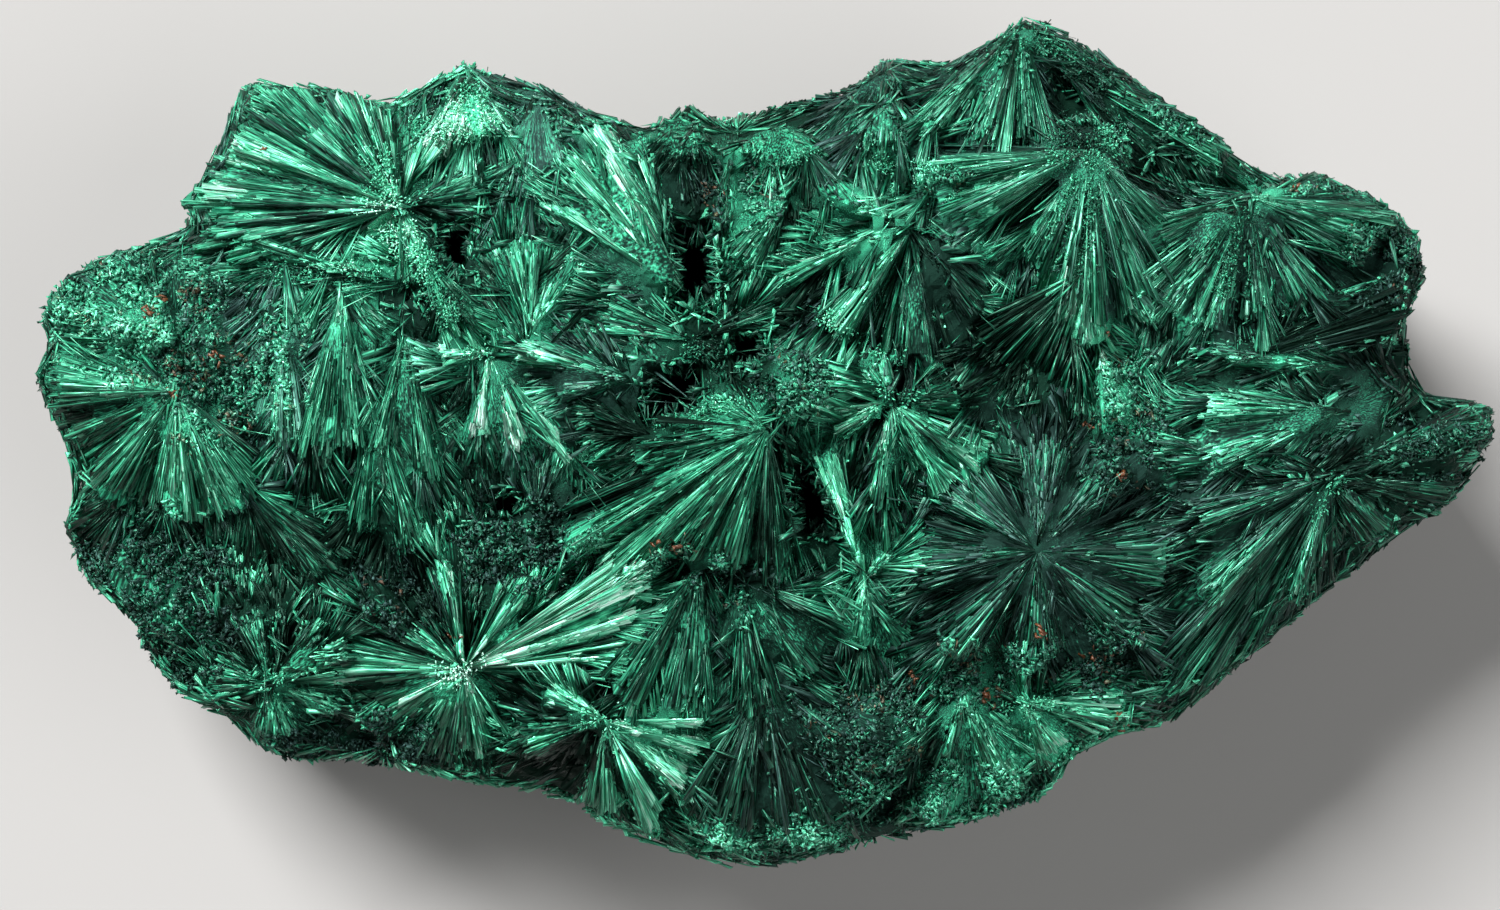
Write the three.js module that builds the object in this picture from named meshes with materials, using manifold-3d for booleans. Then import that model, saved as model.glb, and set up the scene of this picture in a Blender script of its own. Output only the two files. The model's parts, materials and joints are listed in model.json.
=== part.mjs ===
// A hand-sized piece of fibrous malachite: one solid lump of copper carbonate, grown as a crowd
// of needle sprays that fan out from many hearts and run into each other. Millimetres, +Z up.
// It lies on its back, display face up, so X runs along its length and Y across it.
import * as THREE from "three";
import { mergeVertices } from "three/addons/utils/BufferGeometryUtils.js";
import Module from "manifold-3d";

// Driving dimensions
const girth = 17; // height at which the lump is widest
const eye = 280; // height of the viewpoint that plan positions below are read from
const fluteDepth = 0.16; // share by which every second edge of a fan draws in
const seat = 0.4; // how far the middle of a fan's end stands above the lump
const raggedness = 0.09; // share by which the broken ends of a fan vary in length
const deg = Math.PI / 180;

// The lump's rim as seen from above, anticlockwise from its right-hand tip.
const rim = [
  [52.5, 0.4], [52.4, 2.3], [48, 2.8], [46.6, 4.4], [46.2, 6.8], [45.3, 7.8], [46.2, 9.6], [47.5, 12.2],
  [46.8, 15], [44.3, 17.2], [40, 19], [36.5, 19], [33.4, 20.1], [33.4, 21.4], [30.2, 23.2],
  [25.2, 26.7], [23, 28.6], [20.4, 30], [18.6, 30.7], [16.2, 28.3], [11, 25.6], [9, 27.4], [5, 23.8],
  [2.6, 22], [1.1, 23.4], [-3.6, 22.9], [-5.4, 24.1], [-8.6, 22.2], [-12, 23.4], [-15.4, 25.4],
  [-18.6, 26], [-21.4, 27.1], [-27.2, 24], [-30, 25.1], [-37.2, 25.7], [-38.3, 23.6], [-39, 20.6],
  [-40.4, 18.8], [-41.5, 17.3], [-40.4, 15], [-42.6, 14.2], [-44.6, 14], [-48.4, 12.7], [-51.3, 10.8],
  [-52, 8.4], [-51.2, 6.9], [-52.5, 4.4], [-49.4, -1.3], [-49.2, -4], [-50.4, -6.3], [-48.6, -10.2],
  [-45.4, -12.3], [-44.4, -15.3], [-42.2, -18], [-39, -19.6], [-36.2, -21.8], [-34, -23.1],
  [-31, -22.8], [-21.4, -24.4], [-13.4, -25.6], [-12, -27.3], [-5.4, -29.8], [-1, -30.7], [7.8, -29],
  [16.4, -27], [20, -25.4], [21.6, -23.2], [25, -21], [29.4, -20], [32.4, -17.6], [38.6, -12.3],
  [44.8, -7.2], [48.4, -5.2], [50.6, -3.1],
];

// Rings of the lump from hip to shoulder: height and how much of the rim's width each keeps.
const rings = [
  [8, 0.85], [girth, 1], [20.5, 0.955],
];
const spine = 30; // half-length of the line that the rings close in on
const dome = [[-1, -0.6, girth], [51, 28, 14.5]]; // centre and half-sizes of the rise under the sprays
const belly = [[0, 0, 13], [43, 24, 12]]; // the same of the rise below

// Swellings of the lump under the main groups of sprays: centre, then half-sizes.
const swellings = [
  [[-41.5, 5.5, 23], [7, 5.5, 5]],
  [[-46, 8.6, 20], [5.4, 4.8, 4.6]],
  [[-40.6, 10.6, 21.5], [4.4, 3.6, 5]],
  [[-47.4, 3.4, 21], [4.2, 4, 4.4]],
  [[-43, -10, 19], [5.6, 6, 5.6]],
  [[-29.4, -11.4, 26], [4.6, 4.2, 4]],
  [[7, -20.4, 26.5], [5, 3.6, 4.4]],
  [[27.4, -0.4, 26], [3.6, 5, 4.6]],
  [[22.6, 20, 25.5], [3.6, 3, 5]],
  [[2.4, 4, 32], [3.6, 2.8, 5]],
  [[45.4, 13.4, 17], [2.6, 3.4, 5]],
];

// Hollows between the sprays: centre of the mouth, half-sizes, and the height of the floor.
const hollows = [
  [[-5, 12.5], [3.2, 6.5], 14],
  [[-6.5, 3.5], [4, 3.6], 16],
  [[-1.2, 6.6], [2.6, 2.2], 16],
  [[3.6, -4.6], [2.9, 4.6], 17],
  [[-26.2, 10.2], [2.4, 1.4], 16],
  [[-22.3, 13.6], [2.4, 3.4], 14],
  [[23, 24.4], [1.9, 2.2], 14],
  [[12.2, 9], [1.5, 4.2], 18],
  [[34.2, 7.4], [1.6, 0.9], 17],
  [[17.2, 1.6], [2.6, 1.2], 20],
  [[-18.8, -4.6], [3.2, 2.2], 21],
];

const mouth = 38; // height at which the hollows have their full width
const hollowCorners = 4;

// Hearts of the sprays, each with the fans that spread from it. A heart is x, y and how far it
// stands proud of the lump, or below it. A fan is the x and y of its far end, which sits on the lump
// or as deep as a sunken heart, then its half-angles across and in depth, in degrees.
const sprays = {
  cornerHeart: [[-26.2, 16.8, 2], [
    [-35.6, 24.6, 13, 18], [-30.4, 24.4, 17, 20], [-38, 21.2, 9, 15], [-40.9, 17.4, 8, 13],
    [-38.6, 15.2, 7, 14], [-20.4, 18.6, 16, 18], [-23.6, 11.8, 14, 24],
  ]],
  cornerShelf: [[-28.4, 11.8, 2], [[-37.6, 14.6, 11, 12]]],
  feltRidge: [[-24.6, 13.4, 2], [[-21.7, 8.2, 16, 24]]],
  leftColumns: [[-30.4, 10.9, 2], [[-32.2, -1, 9, 16], [-29.4, 0, 9, 18]]],
  innerColumns: [[-25.8, 8.4, 2], [[-27.4, -1, 9, 15], [-24, -2.6, 9, 15]]],
  lowColumns: [[-28, 2.5, 2], [[-29, -6.2, 11, 16], [-25, -7.6, 10, 15]]],
  bluePillar: [[-34.6, 9.2, 2], [[-34.4, -0.4, 9, 16]]],
  leftHeart: [[-42.3, 3.6, 2.5], [
    [-50.4, -0.4, 17, 22], [-46.6, -3.4, 13, 18], [-42, -4.4, 15, 18], [-37.8, -4.6, 16, 18],
    [-51, 4.3, 14, 24],
  ]],
  leftLobe: [[-42.6, 7, 2], [[-50.6, 9.2, 20, 27], [-46.4, 12.2, 20, 25]]],
  lowLeft: [[-37.2, -3.6, 1], [[-30.8, -9, 15, 15]]],
  smallStar: [[-35.6, -17.6, 1.5], [
    [-31, -14, 14, 18], [-36.4, -12.2, 14, 18], [-39.8, -17, 20, 20], [-35, -21.4, 24, 22],
    [-30.4, -18.8, 16, 20],
  ]],
  lowerStar: [[-21.6, -16.5, 3.5], [
    [-27.6, -19.6, 14, 18], [-30.6, -16.2, 11, 16], [-28.4, -12.2, 12, 16], [-23.3, -8.2, 5, 14],
    [-25, -22.6, 14, 18], [-20.2, -22.6, 14, 18], [-8.7, -9.8, 4, 9], [-9.4, -12.6, 5, 9],
    [-12.4, -15.4, 5, 9], [-17, -10.4, 8, 12],
  ]],
  whiteLaths: [[-19.8, 6.4, 1], [
    [-20.4, 0.2, 6, 12], [-17.6, -0.6, 6, 12], [-14.2, -1, 5, 10], [-23.4, 6, 14, 16],
  ]],
  pointedFan: [[-9.5, 4.5, 1], [[-17.4, 6.4, 11, 18], [-14.6, 3.4, 9, 14]]],
  raggedBlock: [[-16.8, 7.8, 1.5], [[-17.4, 14, 20, 20], [-13.6, 13, 15, 16]]],
  longBlades: [[-5.4, 10.3, 2], [
    [-14, 19.6, 4.5, 8], [-11.4, 20.8, 5, 8], [-15.2, 17, 4, 8],
  ]],
  shortBlades: [[-6.9, 14.8, 2], [[-8.8, 20.6, 8, 12], [-12.4, 22, 8, 12]]],
  underBlades: [[-8.2, 11.2, -1.5], [[-14.2, 15.4, 6, 10]]],
  ventStar: [[-5.1, 7.3, -2.5], [[-12, 9.4, 14, 13], [0.8, 10.2, 9, 14], [-3.4, 5.4, 24, 22]]],
  thornBlade: [[-6.3, 3.8, -1], [[-9.3, 8, 6, 12]]],
  sunkFan: [[-7.7, 0.2, -2], [[-12.4, 1.8, 12, 14]]],
  sunkColumns: [[-16.4, -5.4, -1], [[-16.2, -1.4, 22, 16]]],
  mound: [[0.3, 0.9, 6.5], [
    [-12.8, -7.2, 6, 12], [-9.4, -9, 8, 14], [-6.2, -7.6, 11, 16], [-2.6, -8.4, 10, 16], [0.6, -9.6, 8, 16],
    [-8.4, -1.6, 14, 16], [-3.6, 2.4, 22, 22],
  ]],
  skirt: [[-4.6, -9, 2], [[-10.2, -18, 14, 16], [-5.6, -19.2, 14, 16]]],
  sweep: [[-1.6, -10, 2], [[-0.6, -19, 14, 16], [3.4, -16.4, 13, 16], [6.4, -13.4, 5, 10]]],
  brightBundle: [[7.3, -10, 2], [[4.2, -0.6, 8, 12], [9.6, -8, 15, 14], [7, -14.6, 13, 14]]],
  greenBurst: [[9.2, 2.8, 3.5], [
    [5, 0.8, 15, 16], [8, -4.6, 8, 13], [12, -2, 13, 14], [15.6, -1.6, 11, 14], [14, 4, 18, 16],
    [7.4, 5.4, 22, 20],
  ]],
  seedling: [[16.2, 2.2, 0], [[15.3, -1, 20, 20]]],
  bigBurst: [[19.8, -8, 3.5], [
    [20, 0, 18, 20], [25.4, -1.8, 15, 20], [28.6, -7.6, 17, 20], [13.2, -3.2, 15, 20], [11, -9, 15, 20],
    [13.4, -14.6, 15, 20], [19.4, -15.4, 17, 20], [25.8, -13.4, 16, 20],
  ]],
  upperCone: [[41.8, 5, 2], [[32.6, 6.2, 8, 13]]],
  lowerCone: [[41.9, 2.2, 2], [[32, 2.2, 11, 15], [31.6, -2, 8, 13]]],
  slopeHeart: [[41, -2.6, 2], [
    [30.6, -6, 10, 14], [31.8, -11, 9, 14], [34.4, -14.4, 9, 14], [31, -17.6, 6, 12],
    [38, -11.2, 11, 15],
  ]],
  tipHeart: [[40.4, -2.6, 2], [[51.8, 1, 9, 16], [49.6, -3.6, 10, 15], [44.4, -6.6, 13, 18]]],
  darkSide: [[32, 5, 0.5], [[46, 10, 10, 16]]],
  knob: [[23.6, 21, 6], [
    [23, 8.6, 11, 13], [19.6, 12.4, 11, 14], [14.4, 16.4, 11, 14], [12.4, 18.6, 8, 14],
    [27.2, 9.8, 9, 13], [27.4, 15, 12, 16],
  ]],
  eastPeak: [[35, 17.6, 6], [
    [28.4, 9.2, 10, 13], [32, 8.2, 9, 13], [35.6, 8.8, 9, 13], [39.6, 9.8, 11, 14],
    [43.2, 14.2, 12, 17], [45.6, 16, 11, 20], [28, 14.4, 8, 14], [41, 17.6, 12, 20],
  ]],
  farPeak: [[18.6, 30, 2], [
    [11.6, 21.8, 9, 15], [12.8, 26.2, 10, 18], [15.2, 20.2, 9, 15], [19, 20.8, 10, 15],
    [25.4, 25.6, 12, 20],
  ]],
  farSlope: [[21.8, 26.6, 2], [[33, 20.8, 9, 18], [27.4, 20.6, 10, 16]]],
  farThorn: [[9, 27.1, 2], [[8.8, 20.8, 13, 18], [5.4, 21.6, 14, 18]]],
  hangingCone: [[10.7, 15.3, 3], [
    [4.6, 7.6, 11, 15], [4, 13, 12, 15], [4.6, 18, 13, 16], [9.9, 5.4, 4, 12],
    [12.3, 5.2, 5, 11], [15.2, 9.4, 11, 14], [16.4, 13.4, 12, 14],
  ]],
  brokenColumn: [[7, 14.4, 2], [[1.2, 11.2, 7, 10]]],
  northBlock: [[2, 17.8, 2], [[-1.6, 12.6, 16, 16], [-1, 16.4, 14, 14]]],
  northTeeth: [[-5.3, 23.6, 3], [[-8, 20, 18, 20], [-4.6, 19.6, 16, 20]]],
  northTooth: [[1.2, 23, 3], [[-0.6, 19.4, 24, 22], [3.4, 19.6, 20, 22]]],
  northPost: [[-2.4, 20.6, 2], [[-3.3, 15.4, 8, 12]]],
  paleLump: [[-21.3, 26.8, 2], [[-22.6, 20.4, 20, 22], [-19, 21, 12, 18]]],
  bluePeak: [[-16.3, 26, 2], [[-17.6, 17.6, 9, 14], [-14.2, 20, 8, 14]]],
  stub: [[24.2, 7, 2], [[25.6, 1.7, 11, 14]]],
  underKnob: [[23.4, 12.4, -2], [[15.6, 6.2, 11, 13], [19.6, 5, 9, 12]]],
  southHeart: [[-11.4, -20.2, 3.5], [
    [-4, -22, 9, 12], [-5.6, -24.6, 8, 12], [-8, -27.6, 4, 12], [-11, -26.6, 13, 18],
    [-15.6, -18.4, 14, 14], [-17.2, -21.6, 14, 18],
  ]],
  southFans: [[0, -17, 3], [[-3, -27.4, 15, 18], [3.2, -27.6, 14, 18], [8, -25, 13, 16]]],
  paleFans: [[14.4, -18.6, 2], [[12, -26.4, 16, 18], [17.4, -24.4, 13, 18]]],
  paleHeart: [[18.6, -18.8, 2], [[21.4, -22.4, 16, 18], [25.6, -19.6, 14, 18], [18.4, -14.6, 8, 12]]],
};

// Sprays of the underside: x and y of the end, and how far it would reach below the resting plane
// had it not worn flat there. Those that stay above the plane are negative.
const underSprays = [
  [-37, 6, 0.6], [-33, -10, 0.8], [-17, -15, 0.6], [-11, 14, 0.7], [4, -19, 0.7], [10, 9, 0.5], [18, -8, 0.4],
  [27, 12, 0.8], [32, -5, 0.8], [-22, 1, -0.9], [-4, 0, -0.7], [-3, -9.6, -1.3], [-26, 14, -2.2],
];
const underHeart = 15; // height of their hearts
const underSpread = 30; // their half-angle, in degrees
const underLean = 0.86; // share of an end's distance from the middle at which its heart stands

// Sprays round the flanks, between the rim and the resting plane.
const flankSprays = 18;
const flankHeart = 0.5; // share of the rim's width at which they begin
const flankSpread = 33; // their half-angle, in degrees
const flankHeights = [5.5, 11.5];

const wasm = await Module();
wasm.setup();
THREE.MathUtils.seededRandom(41);
const jitter = (share) => 1 + share * (2 * THREE.MathUtils.seededRandom() - 1);

// A point given as it is seen from the eye, at its own height.
function seen(x, y, z) {
  const nearer = (eye - z) / (eye - girth);
  return new THREE.Vector3(x * nearer, y * nearer, z);
}

// A closed geometry as a solid.
function solid(geometry) {
  geometry.deleteAttribute("normal");
  geometry.deleteAttribute("uv");
  const merged = mergeVertices(geometry, 1e-4);
  return new wasm.Manifold(new wasm.Mesh({
    numProp: 3,
    vertProperties: merged.attributes.position.array,
    triVerts: new Uint32Array(merged.index.array),
  }));
}

// A solid's skin as a geometry.
function drawn({ vertProperties, triVerts }) {
  return new THREE.BufferGeometry()
    .setAttribute("position", new THREE.BufferAttribute(vertProperties, 3))
    .setIndex(Array.from(triVerts));
}

// The same merged vertices moved by a function of their old place.
function reshaped(geometry, move) {
  geometry.deleteAttribute("normal");
  geometry.deleteAttribute("uv");
  const merged = mergeVertices(geometry, 1e-4);
  const place = new THREE.Vector3();
  for (let i = 0; i < merged.attributes.position.count; i++) {
    place.fromBufferAttribute(merged.attributes.position, i);
    const moved = move(place);
    merged.attributes.position.setXYZ(i, moved.x, moved.y, moved.z);
  }
  return merged;
}

// Whether a point lies inside the rim as it is seen from the eye.
function insideRim(point) {
  const nearer = (eye - point.z) / (eye - girth);
  const x = point.x / nearer;
  const y = point.y / nearer;
  let inside = false;
  rim.forEach(([ax, ay], i) => {
    const [bx, by] = rim[(i + 1) % rim.length];
    if ((ay > y) !== (by > y) && x < ax + ((y - ay) / (by - ay)) * (bx - ax)) inside = !inside;
  });
  return inside;
}

// A fan: a cone with its tip in the heart, opened to an oval of two half-angles, fluted and broken
// off unevenly at a fixed distance from the heart, so that its end bulges like a piece of a ball.
// No end reaches out over the rim.
function fan(heart, end, across, depth, sides) {
  const along = new THREE.Vector3().subVectors(end, heart);
  const length = along.length();
  along.normalize();
  const upright = Math.abs(along.z) > 0.95 ? new THREE.Vector3(1, 0, 0) : new THREE.Vector3(0, 0, 1);
  const side = new THREE.Vector3().crossVectors(upright, along).normalize();
  const rise = new THREE.Vector3().crossVectors(along, side);
  return solid(reshaped(new THREE.ConeGeometry(1, 1, sides, 1), (p) => {
    if (p.y > 0.49) return heart.clone();
    const around = Math.atan2(p.z, p.x);
    const flute = Math.round((around / Math.PI) * sides / 2) % 2 ? 1 - fluteDepth : 1;
    const open = Math.hypot(p.x, p.z) * flute * jitter(0.08);
    const a = across * deg * open * Math.cos(around);
    const b = depth * deg * open * Math.sin(around);
    const turn = Math.hypot(a, b) || 1e-9;
    const ray = along.clone().multiplyScalar(Math.cos(turn))
      .addScaledVector(side, (a / turn) * Math.sin(turn))
      .addScaledVector(rise, (b / turn) * Math.sin(turn));
    let reach = length * jitter(raggedness);
    while (reach > 1 && !insideRim(ray.clone().multiplyScalar(reach).add(heart))) reach *= 0.97;
    return ray.multiplyScalar(reach).add(heart);
  }));
}

// The point of the spine nearest to a point of the rim.
const onSpine = ([x]) => new THREE.Vector2(THREE.MathUtils.clamp(x, -spine, spine), 0);

// The lump under the sprays: a ball pulled out ring by ring to the rim.
function lump() {
  const ball = new THREE.SphereGeometry(1, rim.length, rings.length + 1);
  return solid(reshaped(ball, (p) => {
    const level = Math.round((Math.acos(-THREE.MathUtils.clamp(p.y, -1, 1)) / Math.PI) * (rings.length + 1));
    if (level === 0) return new THREE.Vector3(0, 0, girth / 2);
    if (level === rings.length + 1) return new THREE.Vector3(0, 0, girth);
    const turn = Math.atan2(-p.z, p.x) / (2 * Math.PI);
    const corner = rim[(Math.round(turn * rim.length) + rim.length) % rim.length];
    const [height, share] = rings[level - 1];
    const atGirth = height === girth;
    const near = onSpine(corner);
    const out = new THREE.Vector2(...corner).sub(near).multiplyScalar(share * (atGirth ? 1 : jitter(0.035)));
    return new THREE.Vector3(near.x + out.x, near.y + out.y, height + (atGirth ? 0 : jitter(0.7) - 1));
  }));
}

const inward = new THREE.Vector3(0.97, 0.97, 1);

// A rounded rise of the lump, faceted and a little uneven, that stays inside the rim.
function swelling([[x, y, z], [rx, ry, rz]], facets = 1, unevenness = 0.07) {
  const centre = seen(x, y, z);
  return solid(reshaped(new THREE.IcosahedronGeometry(1, facets), (p) => {
    const out = p.clone().multiply(new THREE.Vector3(rx, ry, rz)).multiplyScalar(jitter(unevenness));
    while (!insideRim(out.clone().multiplyScalar(1.03).add(centre))) out.multiply(inward);
    return out.add(centre);
  }));
}

// A hollow: an uneven funnel from above the sprays down to its floor, with corners that run out
// between the sprays and edges that stand in.
function hollow([[x, y], [rx, ry], floor]) {
  return solid(reshaped(new THREE.CylinderGeometry(1, 0.4, 1, hollowCorners * 2, 1), (p) => {
    const height = THREE.MathUtils.lerp(floor, mouth, p.y + 0.5);
    const around = Math.atan2(p.z, p.x);
    const corner = Math.round((around / Math.PI) * hollowCorners) % 2;
    const wobble = (corner ? 1.22 : 0.74) * jitter(0.2);
    return seen(x + p.x * rx * wobble, y - p.z * ry * wobble, height);
  }));
}

// The i-th spray round the flanks.
function flankSpray(i) {
  const [x, y] = rim[Math.round((i / flankSprays) * rim.length) % rim.length];
  const near = onSpine([x, y]);
  const height = flankHeights[i % flankHeights.length] * jitter(0.2);
  const at = (share, z) => new THREE.Vector3(
    THREE.MathUtils.lerp(near.x, x, share), THREE.MathUtils.lerp(near.y, y, share), z);
  const low = height < girth / 2;
  return fan(at(flankHeart, height + 4), at(low ? 0.93 : 1, height), flankSpread, flankSpread, 6);
}

// A spray of the underside.
function underSpray([x, y, reach]) {
  const heart = new THREE.Vector3(x * underLean, y * underLean, underHeart);
  return fan(heart, new THREE.Vector3(x, y, -reach), underSpread, underSpread, 8);
}

const worn = solid(new THREE.BoxGeometry(200, 200, 100).translate(0, 0, 50));
const rises = [swelling(dome, 2, 0.03), swelling(belly, 2, 0.05), ...swellings.map((rise) => swelling(rise))];
let body = wasm.Manifold.union([lump(), ...rises]);
const ground = new THREE.Mesh(drawn(body.getMesh()));
body = body.subtract(wasm.Manifold.union(hollows.map(hollow)));

// A point on the sight line through x, y, standing proud of the lump by a lift.
const sight = new THREE.Raycaster();
function proud(x, y, lift) {
  const from = new THREE.Vector3(0, 0, eye);
  sight.set(from, seen(x, y, girth).sub(from).normalize());
  const met = sight.intersectObject(ground)[0];
  return seen(x, y, (met ? Math.max(met.point.z, girth) : girth) + lift);
}

const fans = [];
for (const [heart, ends] of Object.values(sprays)) {
  for (const [x, y, across, depth] of ends) {
    const lift = Math.min(seat, heart[2]);
    fans.push(fan(proud(...heart), proud(x, y, lift), across, depth, across > 14 ? 8 : 6));
  }
}
for (let i = 0; i < flankSprays; i++) fans.push(flankSpray(i));
body = wasm.Manifold.union([body, ...fans, ...underSprays.map(underSpray)]).intersect(worn);

// Only the outer skin is kept: pockets closed in between fans are grown full.
const mesh = body.getMesh();
const owner = Array.from({ length: mesh.vertProperties.length / 3 }, (_, i) => i);
const root = (i) => {
  while (owner[i] !== i) {
    owner[i] = owner[owner[i]];
    i = owner[i];
  }
  return i;
};
for (let t = 0; t < mesh.triVerts.length; t += 3) {
  owner[root(mesh.triVerts[t + 1])] = root(mesh.triVerts[t]);
  owner[root(mesh.triVerts[t + 2])] = root(mesh.triVerts[t]);
}
const skins = new Map();
for (let t = 0; t < mesh.triVerts.length; t += 3) {
  const skin = root(mesh.triVerts[t]);
  if (!skins.has(skin)) skins.set(skin, []);
  skins.get(skin).push(...mesh.triVerts.slice(t, t + 3));
}
mesh.triVerts = [...skins.values()].sort((a, b) => b.length - a.length)[0];
const geometry = drawn(mesh);
geometry.computeVertexNormals();

const malachite = new THREE.MeshStandardMaterial({ color: 0x0c4a30, roughness: 0.42, metalness: 0 });
const specimen = new THREE.Mesh(geometry, malachite);
specimen.name = "malachite_specimen";

const part = new THREE.Group();
part.add(specimen);
export default part;
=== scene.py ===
"""A hand-sized piece of fibrous malachite, laid on its back on a pale table and seen from above."""

import json
import math

import bpy
import numpy as np
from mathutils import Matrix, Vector
from mathutils.bvhtree import BVHTree

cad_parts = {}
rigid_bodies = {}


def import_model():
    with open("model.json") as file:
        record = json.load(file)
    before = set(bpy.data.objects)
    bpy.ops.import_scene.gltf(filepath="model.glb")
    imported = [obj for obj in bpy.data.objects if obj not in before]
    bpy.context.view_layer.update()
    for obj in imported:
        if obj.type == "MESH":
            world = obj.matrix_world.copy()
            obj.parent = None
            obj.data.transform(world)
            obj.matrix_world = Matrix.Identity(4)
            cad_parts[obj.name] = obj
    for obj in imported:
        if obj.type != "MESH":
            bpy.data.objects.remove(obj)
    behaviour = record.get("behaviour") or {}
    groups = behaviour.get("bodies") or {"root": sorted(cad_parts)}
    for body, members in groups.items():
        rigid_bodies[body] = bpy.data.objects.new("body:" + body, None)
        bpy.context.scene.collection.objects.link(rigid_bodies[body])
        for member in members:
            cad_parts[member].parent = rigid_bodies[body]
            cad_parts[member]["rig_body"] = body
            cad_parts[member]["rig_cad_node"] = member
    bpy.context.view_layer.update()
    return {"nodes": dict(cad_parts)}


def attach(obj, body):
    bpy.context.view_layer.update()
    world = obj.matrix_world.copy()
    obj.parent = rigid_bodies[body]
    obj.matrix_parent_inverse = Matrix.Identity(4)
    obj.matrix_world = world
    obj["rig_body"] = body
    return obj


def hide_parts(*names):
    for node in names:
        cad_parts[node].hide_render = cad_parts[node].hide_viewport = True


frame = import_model()

NODE = "malachite_specimen"
MM = 0.001
RNG = np.random.default_rng(20)
TAU = 2 * math.pi
AROUND = np.arange(12) * TAU / 12
UP = np.array([0.0, 0.0, 1.0])
GRAIN = 0.08  # breadth of the finest fibres, which the laths' own grain shows
DASH = 1.6  # length over which the colour of such a fibre changes
FREE = 0.55  # a lath is left out where both its ends stand farther off the solid than this

# The viewpoint, in millimetres: plan positions are read where the sight line meets the girth.
EYE = np.array([-0.97, -1.05, 280.0])
GIRTH = 17.0
LENS_SCALE = 13.86 / 1500  # share of the picture's width that one millimetre takes at the girth
HALF_LENGTH, HALF_WIDTH = 54.0, 32.0

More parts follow.
